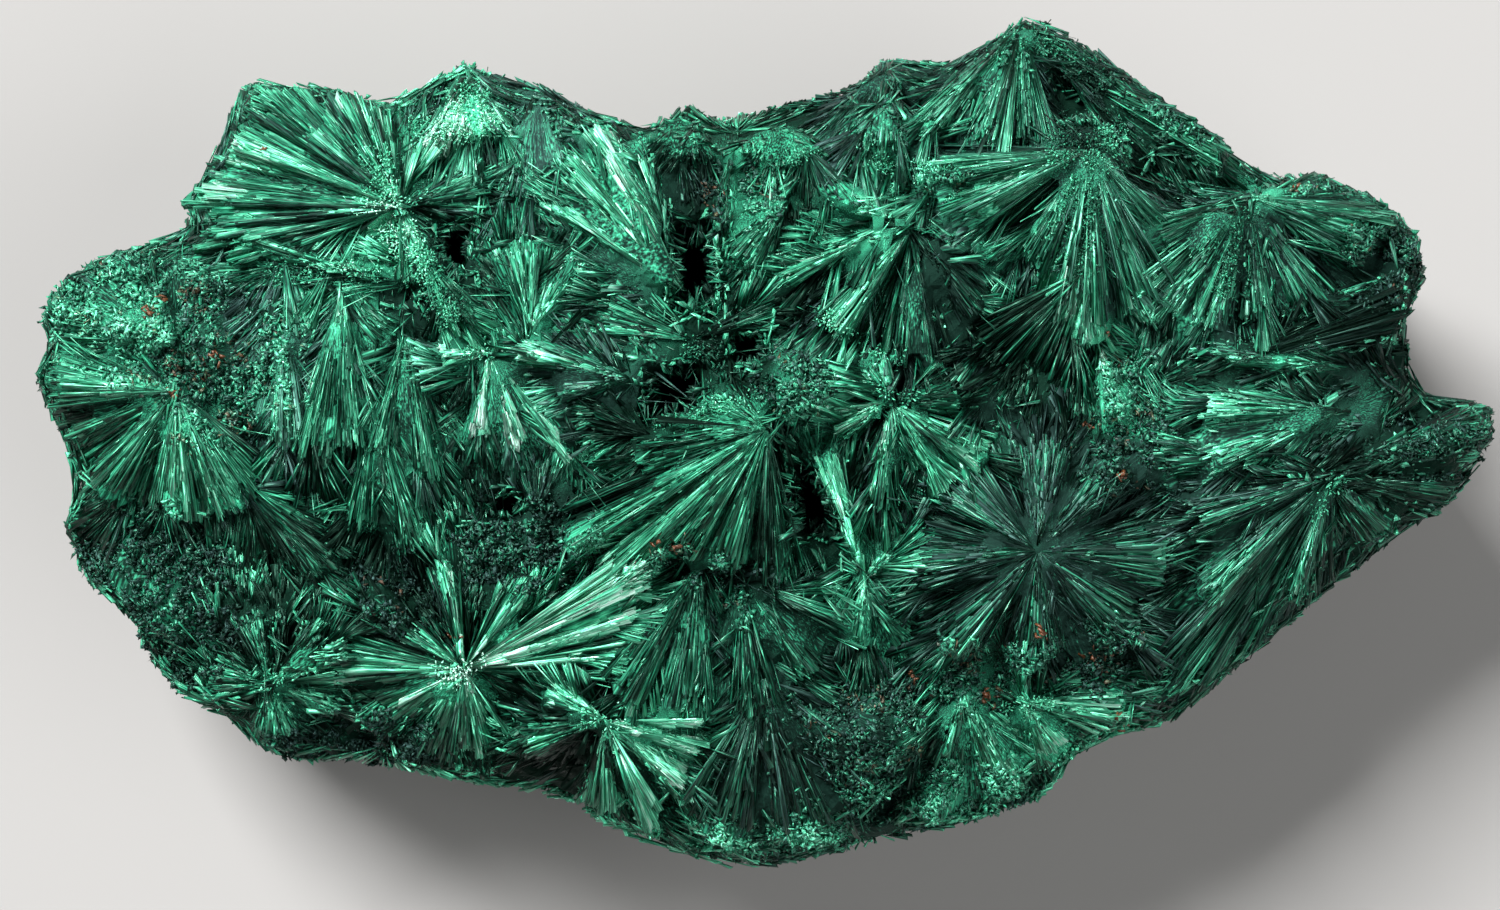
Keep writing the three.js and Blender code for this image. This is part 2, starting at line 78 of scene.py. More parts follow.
# Hearts of the sprays: x, y, tone (0 black green, 1 mint), blueness, and the fans that spread from
# each: x and y of the far end and half-angle in degrees.
SPRAYS = {
    "corner heart": (-26.2, 16.8, 0.50, 0.15, [
        (-35.6, 24.6, 13), (-30.4, 24.4, 17), (-38, 21.2, 10), (-40.9, 17.4, 10), (-38.6, 15.2, 9),
        (-20.4, 18.6, 16), (-23.6, 11.8, 20), (-26, 22, 12)]),
    "corner shelf": (-28.4, 11.8, 0.50, 0.1, [(-37.6, 14.6, 11)]),
    "felt ridge": (-24.6, 13.4, 0.66, 0.0, [(-21.7, 8.2, 18)]),
    "left columns": (-30.4, 10.9, 0.42, 0.1, [(-32.2, -1, 10), (-29.4, 0, 10)]),
    "inner columns": (-25.8, 8.4, 0.45, 0.1, [(-27.4, -1, 10), (-24, -2.6, 10)]),
    "low columns": (-28, 2.5, 0.35, 0.0, [(-29, -6.2, 13), (-25, -7.6, 11)]),
    "blue pillar": (-34.6, 9.2, 0.35, 0.8, [(-34.4, -0.4, 10)]),
    "left heart": (-42.3, 3.6, 0.46, 0.0, [
        (-50.4, -0.4, 17), (-46.6, -3.4, 14), (-42, -4.4, 16), (-37.8, -4.6, 17), (-51, 4.3, 14)]),
    "left lobe": (-42.6, 7, 0.32, 0.1, [(-50.6, 9.2, 20), (-46.4, 12.2, 20)]),
    "low left": (-37.2, -3.6, 0.30, 0.0, [(-30.8, -9, 17)]),
    "small star": (-35.6, -17.6, 0.52, 0.0, [
        (-31, -14, 15), (-36.4, -12.2, 16), (-39.8, -17, 22), (-35, -21.4, 24), (-30.4, -18.8, 17),
    ]),
    "lower star": (-21.6, -16.5, 0.68, 0.0, [
        (-27.6, -19.6, 15), (-30.6, -16.2, 12), (-28.4, -12.2, 14), (-23.3, -8.2, 6),
        (-25, -22.6, 15), (-20.2, -22.6, 16), (-8.7, -9.8, 6), (-9.4, -12.6, 6), (-12.4, -15.4, 8),
        (-17, -10.4, 10)]),
    "white laths": (-19.8, 6.4, 0.94, 0.1, [
        (-20.4, 0.2, 7), (-17.6, -0.6, 7), (-14.2, -1, 6), (-23.4, 6, 16)]),
    "pointed fan": (-9.5, 4.5, 0.50, 0.5, [(-17.4, 6.4, 12), (-14.6, 3.4, 10)]),
    "ragged block": (-16.8, 7.8, 0.52, 0.0, [(-17.4, 14, 22), (-13.6, 13, 16)]),
    "long blades": (-5.4, 10.3, 0.74, 0.1, [(-14, 19.6, 5.5), (-11.4, 20.8, 6), (-15.2, 17, 5)]),
    "short blades": (-6.9, 14.8, 0.60, 0.2, [(-8.8, 20.6, 9), (-12.4, 22, 9)]),
    "under blades": (-8.2, 11.2, 0.45, 0.3, [(-14.2, 15.4, 7)]),
    "vent star": (-5.1, 7.3, 0.55, 0.0, [(-12, 9.4, 14), (0.8, 10.2, 10), (-3.4, 5.4, 24)]),
    "thorn blade": (-6.3, 3.8, 0.50, 0.2, [(-9.3, 8, 8)]),
    "sunk fan": (-7.7, 0.2, 0.30, 0.0, [(-12.4, 1.8, 13)]),
    "sunk columns": (-16.4, -5.4, 0.35, 0.2, [(-16.2, -1.4, 22)]),
    "mound": (0.3, 0.9, 0.46, 0.0, [
        (-12.8, -7.2, 8), (-9.4, -9, 9), (-6.2, -7.6, 12), (-2.6, -8.4, 11), (0.6, -9.6, 9),
        (-8.4, -1.6, 15), (-3.6, 2.4, 24)]),
    "skirt": (-4.6, -9, 0.36, 0.1, [(-10.2, -18, 15), (-5.6, -19.2, 15)]),
    "sweep": (-1.6, -10, 0.30, 0.1, [(-0.6, -19, 15), (3.4, -16.4, 14), (6.4, -13.4, 6)]),
    "bright bundle": (7.3, -10, 0.52, 0.0, [(4.2, -0.6, 9), (9.6, -8, 16), (7, -14.6, 14)]),
    "green burst": (9.2, 2.8, 0.62, 0.0, [
        (5, 0.8, 16), (8, -4.6, 10), (12, -2, 14), (15.6, -1.6, 12), (14, 4, 18), (7.4, 5.4, 22)]),
    "seedling": (16.2, 2.2, 0.5, 0.3, [(15.3, -1, 20)]),
    "big burst": (19.8, -8, 0.27, 0.45, [
        (20, 0, 18), (25.4, -1.8, 16), (28.6, -7.6, 18), (13.2, -3.2, 16), (11, -9, 16),
        (13.4, -14.6, 16), (19.4, -15.4, 18), (25.8, -13.4, 17)]),
    "upper cone": (41.8, 5, 0.46, 0.3, [(32.6, 6.2, 9)]),
    "lower cone": (41.9, 2.2, 0.46, 0.4, [(32, 2.2, 12), (31.6, -2, 9)]),
    "slope heart": (41, -2.6, 0.30, 0.4, [
        (30.6, -6, 11), (31.8, -11, 10), (34.4, -14.4, 10), (31, -17.6, 8), (38, -11.2, 14)]),
    "tip heart": (40.4, -2.6, 0.22, 0.1, [(51.8, 1, 10), (49.6, -3.6, 11), (44.4, -6.6, 15)]),
    "dark side": (32, 5, 0.12, 0.1, [(46, 10, 10)]),
    "knob": (23.6, 21, 0.42, 0.5, [
        (23, 8.6, 12), (19.6, 12.4, 12), (14.4, 16.4, 12), (12.4, 18.6, 10), (27.2, 9.8, 10),
        (27.4, 15, 13)]),
    "east peak": (35, 17.6, 0.42, 0.35, [
        (28.4, 9.2, 11), (32, 8.2, 10), (35.6, 8.8, 10), (39.6, 9.8, 12), (43.2, 14.2, 13),
        (45.6, 16, 12), (28, 14.4, 9), (41, 17.6, 13)]),
    "far peak": (18.6, 30, 0.42, 0.3, [
        (11.6, 21.8, 10), (12.8, 26.2, 10), (15.2, 20.2, 10), (19, 20.8, 11), (25.4, 25.6, 13)]),
    "far slope": (21.8, 26.6, 0.22, 0.0, [(33, 20.8, 10), (27.4, 20.6, 11)]),
    "far thorn": (9, 27.1, 0.35, 0.5, [(8.8, 20.8, 14), (5.4, 21.6, 15)]),
    "hanging cone": (10.7, 15.3, 0.40, 0.2, [
        (4.6, 7.6, 14), (7.4, 6.8, 10), (9.9, 5.4, 6), (12.3, 5.2, 6), (15.2, 9.4, 12)]),
    "broken column": (7, 14.4, 0.62, 0.0, [(1.2, 11.2, 9)]),
    "north block": (2, 17.8, 0.30, 0.0, [(-1.6, 12.6, 17), (-1, 16.4, 15)]),
    "north teeth": (-5.3, 23.6, 0.45, 0.1, [(-8, 20, 18), (-4.6, 19.6, 17)]),
    "north tooth": (1.2, 23, 0.40, 0.0, [(-0.6, 19.4, 24), (3.4, 19.6, 20)]),
    "north post": (-2.4, 20.6, 0.60, 0.0, [(-3.3, 15.4, 9)]),
    "pale lump": (-21.3, 26.8, 0.66, 0.2, [(-22.6, 20.4, 20), (-19, 21, 14)]),
    "blue peak": (-16.3, 26, 0.40, 0.9, [(-17.6, 17.6, 10), (-14.2, 20, 9)]),
    "stub": (24.2, 7, 0.85, 0.0, [(25.6, 1.7, 12)]),
    "under knob": (23.4, 12.4, 0.45, 0.0, [(15.6, 6.2, 13), (19.6, 5, 11)]),
    "south heart": (-11.4, -20.2, 0.72, 0.0, [
        (-4, -22, 10), (-5.6, -24.6, 9), (-8, -27.6, 5), (-11, -26.6, 14), (-15.6, -18.4, 15),
        (-17.2, -21.6, 15)]),
    "south fans": (0, -17, 0.22, 0.3, [(-3, -27.4, 15), (3.2, -27.6, 15), (8, -25, 14)]),
    "pale fans": (14.4, -18.6, 0.50, 0.1, [(12, -26.4, 16), (17.4, -24.4, 14)]),
    "pale heart": (18.6, -18.8, 0.58, 0.0, [
        (21.4, -22.4, 17), (25.6, -19.6, 15), (18.4, -14.6, 9)]),
}

# Patches of crust, where the needles are short grains that stand every way: centre, half-sizes,
# tone and the share of brown grains.
CRUSTS = [
    (-45.4, 8.6, 6.4, 5.2, 0.52, 0.05), (-40.2, 5.6, 4.6, 6.4, 0.36, 0.14),
    (-34.6, 5.4, 2.2, 4.6, 0.48, 0.04), (-44, -11.5, 6.4, 7, 0.26, 0),
    (-29, -21.6, 7, 2.2, 0.18, 0), (2.4, 4.2, 3.4, 3, 0.30, 0.03), (-5, -9, 4.2, 1.6, 0.24, 0.18),
    (-2, -12, 2.2, 1.8, 0.36, 0.04), (6.8, -20.6, 5.4, 4, 0.26, 0.06), (26, 0.4, 4, 5, 0.24, 0.05),
    (-17, -7.4, 6, 3.6, 0.28, 0), (44.4, 13, 3, 3.6, 0.28, 0.02), (48, -0.6, 4.4, 2.6, 0.22, 0),
    (15.6, -17, 4.4, 2.6, 0.32, 0.10), (-27, -11, 3.6, 3.2, 0.22, 0.02),
    (12, -25.6, 9, 2.6, 0.46, 0), (30, 23, 3.4, 2, 0.16, 0), (36.6, 18.6, 5, 1.2, 0.30, 0.02),
    (12, 18.4, 3.6, 1.6, 0.28, 0.02), (0, -28.6, 7, 1.6, 0.46, 0), (24, -15.8, 4, 3, 0.22, 0.06),
    (-1.4, 17.6, 3, 2.6, 0.24, 0.06), (26.4, 5.6, 2, 1.4, 0.3, 0.2),
]

# Felted crests, where short fibres stand on end: the crest's two ends, half-width and tone.
FELTS = [
    (-27.6, 16.8, -24.6, 12.6, 1.7, 0.70), (-24.6, 12.6, -22.6, 9.2, 1.5, 0.68),
    (-22.6, 9.2, -21.4, 7.2, 1, 0.64), (-39, 14.5, -35, 12, 0.8, 0.62),
    (-35, 12, -28.5, 12, 0.8, 0.62), (-4.6, 6.2, -3, 6.4, 1.2, 0.68),
    (-22.4, -16.6, -20.8, -16, 1.2, 0.76), (8.8, 3.2, 10, 3.2, 0.9, 0.70),
    (-20.2, 6.4, -18.6, 6.2, 0.9, 0.72), (-7, 0.9, -1, 3.2, 0.7, 0.62),
    (22, 21.2, 24.8, 21.6, 1.6, 0.56), (3.7, 9, 9, 6, 0.8, 0.60),
    (-12, -20.4, -10.6, -20, 0.9, 0.74), (18.2, -19, 20, -19, 0.9, 0.66),
    (-26.4, 20, -21, 24, 2.6, 0.58), (-35.8, -17.8, -35.2, -17.2, 0.8, 0.66),
    (40, -4.8, 41.4, -3.4, 0.7, 0.66), (2.6, 20.4, 13, 19.6, 0.7, 0.5),
    (23.2, 19.6, 22.4, 14, 1.9, 0.44), (34.6, 16, 33.6, 12, 1.6, 0.36),
    (20, 28.4, 23.6, 26, 1.4, 0.3),
]

# The hollows between the sprays: centre and half-sizes.
VUGS = [
    (-5, 12.5, 3.2, 6.5), (-6.5, 3.5, 4, 3.6), (-1.2, 6.6, 2.6, 2.2), (3.6, -4.6, 2.9, 4.6),
    (-26.2, 10.2, 2.4, 1.4), (-22.3, 13.6, 2.4, 3.4), (23, 24.4, 1.9, 2.2), (12.2, 9, 1.5, 4.2),
    (34.2, 7.4, 1.6, 0.9), (17.2, 1.6, 2.6, 1.2), (-18.8, -4.6, 3.2, 2.2),
]

# Where the display face lies in deep shade (negative) or stands out in the light: the two ends of
# each stretch, how far it reaches to the sides, and what it adds to the tone.
SHADE_STRENGTH, SHADE_BREADTH = 1.35, 1.15  # what all those amounts and reaches are multiplied by
SHADES = [
    (-27, 10.4, -25, 9, 1.1, -0.5), (-22.6, 16, -21.6, 11, 1.9, -0.5),
    (-4.6, 18.6, -5.2, 10, 1.8, -0.6), (-3.4, 8, -1, 4.6, 1.6, -0.5),
    (2.8, 10.6, 2.6, 7.8, 1.1, -0.45), (-10, 1.6, -5.6, 4.6, 2.2, -0.35),
    (-13.4, 0.4, -8.6, 0, 1.4, -0.2), (2.4, -2.4, 5, -8, 1.5, -0.6),
    (6.2, -0.4, 6.8, -4.2, 1.1, -0.4), (12.8, 13, 14.6, 7, 2, -0.42),
    (10.4, 4.2, 19.6, 4.2, 1.4, -0.3), (21.4, 7, 21.6, 4, 1.9, -0.12),
    (23, 25, 22.8, 22.4, 1.4, -0.5), (25.4, 26, 32, 22, 1.7, -0.1),
    (33.4, 7.7, 35.6, 7.9, 0.8, -0.5), (41, 6, 45.4, 9.6, 2.6, -0.4),
    (43.6, -1, 51, -1.4, 2.4, -0.18), (15.4, 1.4, 19, 1.2, 1.2, -0.35),
    (-19.6, -5.4, -12.6, -4, 2.4, -0.2), (-20.4, -3.4, -19.6, -3.6, 1.1, -0.4),
    (-28, -9, -25.6, -12.6, 2.8, -0.25), (-47, -7, -42, -16, 4, -0.07),
    (-33, -22.4, -14, -24.4, 1.9, -0.3), (-35.8, -1.2, -31.6, -1, 0.6, -0.4),
    (-37, -5, -32, -7.5, 0.7, -0.35), (-42, 10, -38.6, 3.4, 2.4, -0.05),
    (0.2, -8.6, 0.2, -10.6, 1, -0.3), (1, -23, 8, -25.4, 3.4, -0.14),
    (12.6, -8, 24, -9, 4.4, -0.15), (-35, 23.5, -27.8, 17.8, 0.7, -0.3),
    (-28, 14, -36, 16.4, 0.6, -0.3), (-18.4, 10, -15.4, 15.6, 2, -0.12),
    (22.6, 2, 27.6, -4, 2.6, -0.1), (-5.6, 10.6, -12, 20.4, 1.3, 0.14),
    (-13.6, -8.2, -8, -6.2, 1.3, 0.16), (-23, -17.4, -20, -15.2, 2.2, 0.12),
    (-10.6, -20.8, -5.2, -24, 1.4, 0.14), (25.4, 6, 25.3, 2, 1.3, 0.28),
    (3.6, -2, 5.2, -3.6, 0.6, 0.3), (5.2, -3.6, 6.9, -9.6, 0.6, 0.3), (3.8, 8.6, 9, 6.2, 0.7, 0.2),
    (2, 12.6, 3.8, 11.6, 0.9, 0.28), (27, 9, 30, 8.4, 1.1, 0.22), (20.6, 10, 23.6, 7.6, 1, 0.2),
    (36.6, 9.8, 39, 9.4, 1, 0.16), (39.6, 13.4, 41.4, 13, 0.6, 0.2), (-5, -29.2, 8, -29, 0.9, 0.2),
    (10, -26.6, 21, -22.4, 1.5, 0.12), (28.8, -4, 33.2, 3.6, 0.5, 0.2),
    (41.6, -6, 33.6, -16, 0.7, 0.12), (-38.6, 20.4, -37.4, 21, 0.9, 0.3),
    (-41, 16.6, -39.2, 18.2, 0.9, 0.3), (-23.6, 21.6, -19.6, 24, 2.6, 0.12),
    (-42.4, 0.4, -41.4, -2.4, 0.9, 0.22), (-48, 3.3, -46.8, 3.6, 0.4, 0.3),
    (-25.6, 13.6, -22.2, 8.4, 1.4, 0.1), (-7, 0.8, -1, 3.2, 0.8, 0.12),
    (-38, 16.6, -35.6, 16, 1.6, -0.14), (-24.6, 7.6, -23.6, 3, 1.6, -0.14),
    (-13.6, 12.2, -9, 14, 1.8, -0.16), (-11.4, 9.2, -8.4, 9, 1.8, -0.22),
    (-8, 20, -7.6, 14, 1.2, -0.18), (-1.4, 10, 1.6, 9.2, 1.6, -0.2),
    (35.8, 15, 36.8, 12.4, 1.7, -0.28), (11.4, -0.4, 12.8, -0.8, 1.8, -0.14),
    (0.6, -4, 0.4, -7, 1.5, -0.26), (-16.4, 5, -13.4, 4.4, 1.6, -0.12),
    (-21.4, -10.6, -18.4, -11, 1.8, -0.18), (-37.4, -12.4, -34.6, -12.8, 2.6, -0.18),
    (-31, -15, -27, -15.8, 2.6, -0.2), (-16.6, -20.4, -11.4, -23.6, 1.9, -0.38),
    (7, -20, 9.4, -20.2, 2.2, -0.12), (31, -3, 36, -5, 2.2, -0.12),
    (-24.6, 23, -22.6, 23.4, 2.4, 0.16), (-29, 14.6, -27, 17, 1.9, 0.26),
    (-31.4, 10.6, -30, 9.4, 2, 0.1), (-49, 7, -46, 8.2, 2.2, 0.15),
    (-19.4, 9.2, -18, 8.6, 1.4, 0.1), (-3.6, 19.4, -1, 16.4, 2, 0.2),
    (8.2, 20, 8.8, 9.8, 1.8, 0.12), (16.6, 17.6, 18.4, 16.4, 2.1, 0.18),
    (17.4, 28.4, 20.4, 28, 2.2, 0.12), (27.4, 24.6, 34.6, 19.4, 1.9, 0.2),
    (42.6, 15.6, 45, 16.2, 1.8, 0.1), (21.6, 10, 22.6, 8, 1.6, 0.12),
    (37.4, 5.6, 40, 5.4, 1.3, 0.12), (4.4, 1, 6.8, 1, 1.4, 0.12),
    (-12.6, -1.4, -9.6, -1.8, 1.6, 0.12), (-43.4, -3.2, -41, -3.6, 1.8, 0.08),
    (-21.4, -16.6, -8, -10.4, 1.5, 0.18), (5, -9.8, 7.4, -10.6, 1.6, 0.16),
    (35.4, 13.4, 37.6, 12.2, 2, -0.16), (-38, -11, -33, -11.6, 2.4, -0.14),
    (-17.6, 3.4, -14.6, 3.8, 1.7, -0.14), (2.6, 5.6, 13, 5.4, 1.4, -0.12),
    (-3.4, 10.2, -1, 9.8, 1.6, -0.1), (19, -2, 21.4, -4.6, 1.8, -0.1),
    (33, -4.6, 36, -5.6, 2, -0.1), (-12.4, -22.6, -10.4, -24, 1.8, -0.14),
    (-14, -16, -11, -16.6, 1.8, -0.12), (-21, -11.4, -19, -12, 1.6, -0.1),
    (22.6, 15.4, 26.6, 16.6, 1.9, -0.08), (-5, -2.6, -3.6, 1, 1.4, -0.1),
    (16.4, 14, 18.4, 16.6, 2, 0.18), (-28.6, 16.4, -26, 14.8, 1.8, 0.16),
    (-16.4, 15, -18.4, 9.4, 1.5, 0.16), (-37.4, 3, -34.6, 0.6, 2.2, 0.14),
    (33.4, 19.4, 35.2, 18.6, 1.8, 0.16), (20.6, 9.4, 22.4, 9, 1.5, 0.12),
    (14, -6, 15.4, -7, 1.5, 0.12), (5.6, -9, 6.6, -11, 1.5, 0.14), (28.6, -7.6, 30, -11, 1.8, 0.1),
    (3.4, 0.2, 8.6, 0.4, 1.4, 0.12), (-31, 9.6, -28, 9.4, 1.7, 0.12),
    (27.4, 24.6, 29.6, 23.2, 1.7, 0.14), (-34.6, -18.6, -31.4, -22, 1.9, 0.12),
    (-43, -12, -41.6, -14, 1.8, 0.12), (38, 5.4, 40.4, 5, 1.4, 0.12),
    (-47.4, -5.4, -42, -2.6, 1.8, 0.1), (7, 19.2, 10.6, 18.8, 1.8, 0.1),
    (-19.6, -17, -18, -17.4, 1.4, 0.14),
]


def seen(x, y, z):
    """Points whose sight lines pass x, y at the girth, at their own height z: x and y drawn in
    towards the eye in proportion to the height."""
    nearer = (EYE[2] - z) / (EYE[2] - GIRTH)
    return np.stack([EYE[0] + (x - EYE[0]) * nearer, EYE[1] + (y - EYE[1]) * nearer, z], axis=-1)


def unit(v):
    """Vectors scaled to a length of one."""
    return v / np.maximum(np.linalg.norm(v, axis=-1, keepdims=True), 1e-9)


def as_seen(points):
    """Where the sight lines of points meet the girth: the reverse of seen."""
    farther = (EYE[2] - GIRTH) / (EYE[2] - points[:, 2:])
    return EYE[:2] + (points[:, :2] - EYE[:2]) * farther


# The solid and its display face
solid = frame["nodes"][NODE]
tree = BVHTree.FromObject(solid, bpy.context.evaluated_depsgraph_get())
STEP = 0.4  # between the lines of the grid on which the display face is read
LAST = 1.001  # keeps a place within the grid's last square
BEYOND = 8.0  # height taken far past the rim
GRID_X = np.arange(-HALF_LENGTH, HALF_LENGTH + STEP, STEP)
GRID_Y = np.arange(-HALF_WIDTH, HALF_WIDTH + STEP, STEP)


def relief():
    """Height of the display face on a square grid: each sight line's first meeting with the solid,
    and not a number where it misses."""
    eye = Vector(EYE * MM)
    heights = np.full((len(GRID_Y), len(GRID_X)), np.nan)
    for row, y in enumerate(GRID_Y):
        for column, x in enumerate(GRID_X):
            hit = tree.ray_cast(eye, (Vector((x * MM, y * MM, GIRTH * MM)) - eye).normalized())[0]
            if hit is not None:
                heights[row, column] = hit.z / MM
    return heights


# MET says where the sight lines meet the solid, and NEARLY adds one step around that. The heights
# are carried three steps past the rim.
HEIGHTS = relief()
MET = ~np.isnan(HEIGHTS)
NEARLY = MET.copy()
SIDEWAYS = ((0, 1), (0, -1), (1, 0), (-1, 0))
for shift in SIDEWAYS:
    NEARLY |= np.roll(MET, shift, axis=(0, 1))
for shift in SIDEWAYS * 3:
    HEIGHTS = np.where(np.isnan(HEIGHTS), np.roll(HEIGHTS, shift, axis=(0, 1)), HEIGHTS)
HEIGHTS = np.where(np.isnan(HEIGHTS), BEYOND, HEIGHTS)


def top(x, y, field=HEIGHTS):
    """Height of the display face at any x, y, or another field on the same grid: the four nearest
    values, shared out by distance."""
    u = np.clip((x - GRID_X[0]) / STEP, 0, len(GRID_X) - LAST)
    v = np.clip((y - GRID_Y[0]) / STEP, 0, len(GRID_Y) - LAST)
    i, j = u.astype(int), v.astype(int)
    a, b = u - i, v - j
    near_row = field[j, i] * (1 - a) + field[j, i + 1] * a
    far_row = field[j + 1, i] * (1 - a) + field[j + 1, i + 1] * a
    return near_row * (1 - b) + far_row * b


def smoothed(field, cells):
    """A field blurred along both directions by a bell curve so many cells wide."""
    reach = np.arange(-math.ceil(3 * cells), math.ceil(3 * cells) + 1)
    bell = np.exp(-0.5 * (reach / cells) ** 2)
    bell /= bell.sum()
    for axis in (1, 0):
        field = np.apply_along_axis(np.convolve, axis, field, bell, "same")
    return field


def stands_above(cells):
    """How far each place stands above the mean height around it, weighed by a bell curve so many
    cells wide, in millimetres."""
    weight = np.maximum(smoothed(MET.astype(float), cells), 0.05)
    return np.where(MET, HEIGHTS - smoothed(HEIGHTS * MET, cells) / weight, 0)


def shades():
    """What the listed shades add to the tone on the grid: each falls off with the distance from its
    stretch by a bell curve."""
    x, y = np.meshgrid(GRID_X, GRID_Y)
    added = np.zeros_like(x)
    for ax, ay, bx, by, reach, amount in SHADES:
        share = ((x - ax) * (bx - ax) + (y - ay) * (by - ay)) / ((bx - ax) ** 2 + (by - ay) ** 2)
        share = np.clip(share, 0, 1)
        away = np.hypot(x - ax - share * (bx - ax), y - ay - share * (by - ay))
        added += SHADE_STRENGTH * amount * np.exp(-(away / (SHADE_BREADTH * reach)) ** 2)
    return added


# Painted shade and light, added to the tone: clefts and hollows darker as painted shade, edges and
# crests paler as the fibres' pale broken ends and as painted light, and the listed stretches of
# painted shade and light. Each small and each broad form adds so much for a millimetre, between a
# least and a greatest height.
SMALL_FORMS, BROAD_FORMS = (3, 0.09, -1.6, 1.3), (10, 0.04, -3.0, 2.0)
PAINTED_SHADE_AND_LIGHT = sum(rise * np.clip(stands_above(cells), least, most)
            for cells, rise, least, most in (SMALL_FORMS, BROAD_FORMS)) + shades()
SLOPE_Y, SLOPE_X = np.gradient(smoothed(HEIGHTS, 1.6), STEP)


def facing(x, y):
    """The way the display face looks at any x, y: upright, less its slopes."""
    return unit(np.stack([-top(x, y, SLOPE_X), -top(x, y, SLOPE_Y), np.ones(len(x))], axis=1))


def painted_shade_and_light_at(x, y):
    """The painted shade and light that the place adds to the tone at any x, y."""
    return top(x, y, PAINTED_SHADE_AND_LIGHT)


def on_face(x, y, met=MET):
    """Whether the sight line through x, y meets the specimen, or with NEARLY comes within a grid
    step of it."""
    i = np.clip(np.rint((x - GRID_X[0]) / STEP).astype(int), 0, len(GRID_X) - 1)
    j = np.clip(np.rint((y - GRID_Y[0]) / STEP).astype(int), 0, len(GRID_Y) - 1)
    return met[j, i]


def off_vug(x, y):
    """How far a point lies from the middle of the nearest hollow, as a share of the hollow's size:
    1 at its edge."""
    return np.min([np.hypot((x - cx) / rx, (y - cy) / ry) for cx, cy, rx, ry in VUGS], axis=0)


def crustiness(x, y):
    """How far inside a patch of crust a point lies: 1 in its middle, 0 at its edge and outside."""
    inside = np.zeros_like(x)
    for cx, cy, rx, ry, _, _ in CRUSTS:
        inside = np.maximum(inside, 1 - np.hypot((x - cx) / rx, (y - cy) / ry) ** 2)
    return np.clip(inside, 0, 1)


def nearest(points):
    """The solid's nearest point to each point, in millimetres, and the outward way there."""
    found = [tree.find_nearest(Vector(p)) for p in points * MM]
    return np.array([f[0] for f in found]) / MM, np.array([f[1] for f in found])


def outside(points):
    """How far each point stands outside the solid, in millimetres, measured along the solid's
    outward way there: below zero inside."""
    place, way = nearest(points)
    return ((points - place) * way).sum(axis=1)


def to_surface(points, lift):
    """The nearest point of the solid to each point, raised by a lift along the outward way."""
    place, way = nearest(points)
    return place + way * lift[:, None]


# Meshes from arrays
def mark(mesh, colours, lay):
    """Gives each point of a mesh its growth colour and its place in the grain."""
    layer = mesh.color_attributes.new("growth", "FLOAT_COLOR", "POINT")
    layer.data.foreach_set("color", colours.astype(np.float32).ravel())
    layer = mesh.attributes.new("lay", "FLOAT_VECTOR", "POINT")
    layer.data.foreach_set("vector", lay.astype(np.float32).ravel())


def mesh_object(name, points, faces, colours, lay, spots):
    """An object from points in millimetres, faces as index arrays of equal width per array, a
    growth colour and a place in the grain for each point, and a place on the sheet for each
    corner."""
    mesh = bpy.data.meshes.new(name)
    corners = np.concatenate([f.ravel() for f in faces])
    counts = np.concatenate([np.full(len(f), f.shape[1]) for f in faces])
    mesh.vertices.add(len(points))
    mesh.vertices.foreach_set("co", (points * MM).astype(np.float32).ravel())
    mesh.loops.add(len(corners))
    mesh.loops.foreach_set("vertex_index", corners.astype(np.int32))
    mesh.polygons.add(len(counts))
    mesh.polygons.foreach_set("loop_start", (np.cumsum(counts) - counts).astype(np.int32))
    mesh.polygons.foreach_set("loop_total", counts.astype(np.int32))
    mesh.update(calc_edges=True)
    mark(mesh, colours, lay)
    mesh.uv_layers.new(name="OFBake").uv.foreach_set("vector", spots.astype(np.float32).ravel())
    made = bpy.data.objects.new(name, mesh)
    bpy.context.scene.collection.objects.link(made)
    return made


def across(start, end):
    """The way along each lath, the level way across it, and the way square to both."""
    along = unit(end - start)
    level = unit(np.cross(along, UP) + 1e-6)
    return along, level, np.cross(level, along)


def section(along, level, lift, roll, thick):
    """The corners of each lath's section, for a breadth of one: two edges and a keel, turned about
    the length by the roll."""
    face = lift * np.cos(roll)[:, None] + level * np.sin(roll)[:, None]
    side, keel = np.cross(along, face), face * thick[:, None]
    return np.stack([side + keel, -side + keel, -keel], axis=1) / 2


def on_sheet(count, outlines):
    """Places on the sheet for the corners of the laths' faces: each lath has a square cell of its
    own, and in it an outline for each of its faces."""
    cells = math.ceil(math.sqrt(count))
    cell = np.stack([np.arange(count) % cells, np.arange(count) // cells], axis=1)
    return np.concatenate([((cell[:, None] + np.array(outline)[None]) / cells).reshape(-1, 2)
                           for outline in outlines])


LATH_OUTLINES = [
    *([(k / 3 + 0.03, 0.1), (k / 3 + 0.3, 0.1), (k / 3 + 0.3, 0.9), (k / 3 + 0.03, 0.9)]
      for k in range(3)),
    [(0.1, 0.02), (0.5, 0.02), (0.3, 0.07)], [(0.1, 0.93), (0.5, 0.93), (0.3, 0.98)]]
SPIKE_OUTLINES = [
    *([(k / 3 + 0.16, 0.06), (k / 3 + 0.3, 0.86), (k / 3 + 0.03, 0.86)] for k in range(3)),
    [(0.1, 0.92), (0.5, 0.92), (0.3, 0.98)]]
GRAIN_FIELD = 90  # size of the noise field in which each lath finds a place of its own


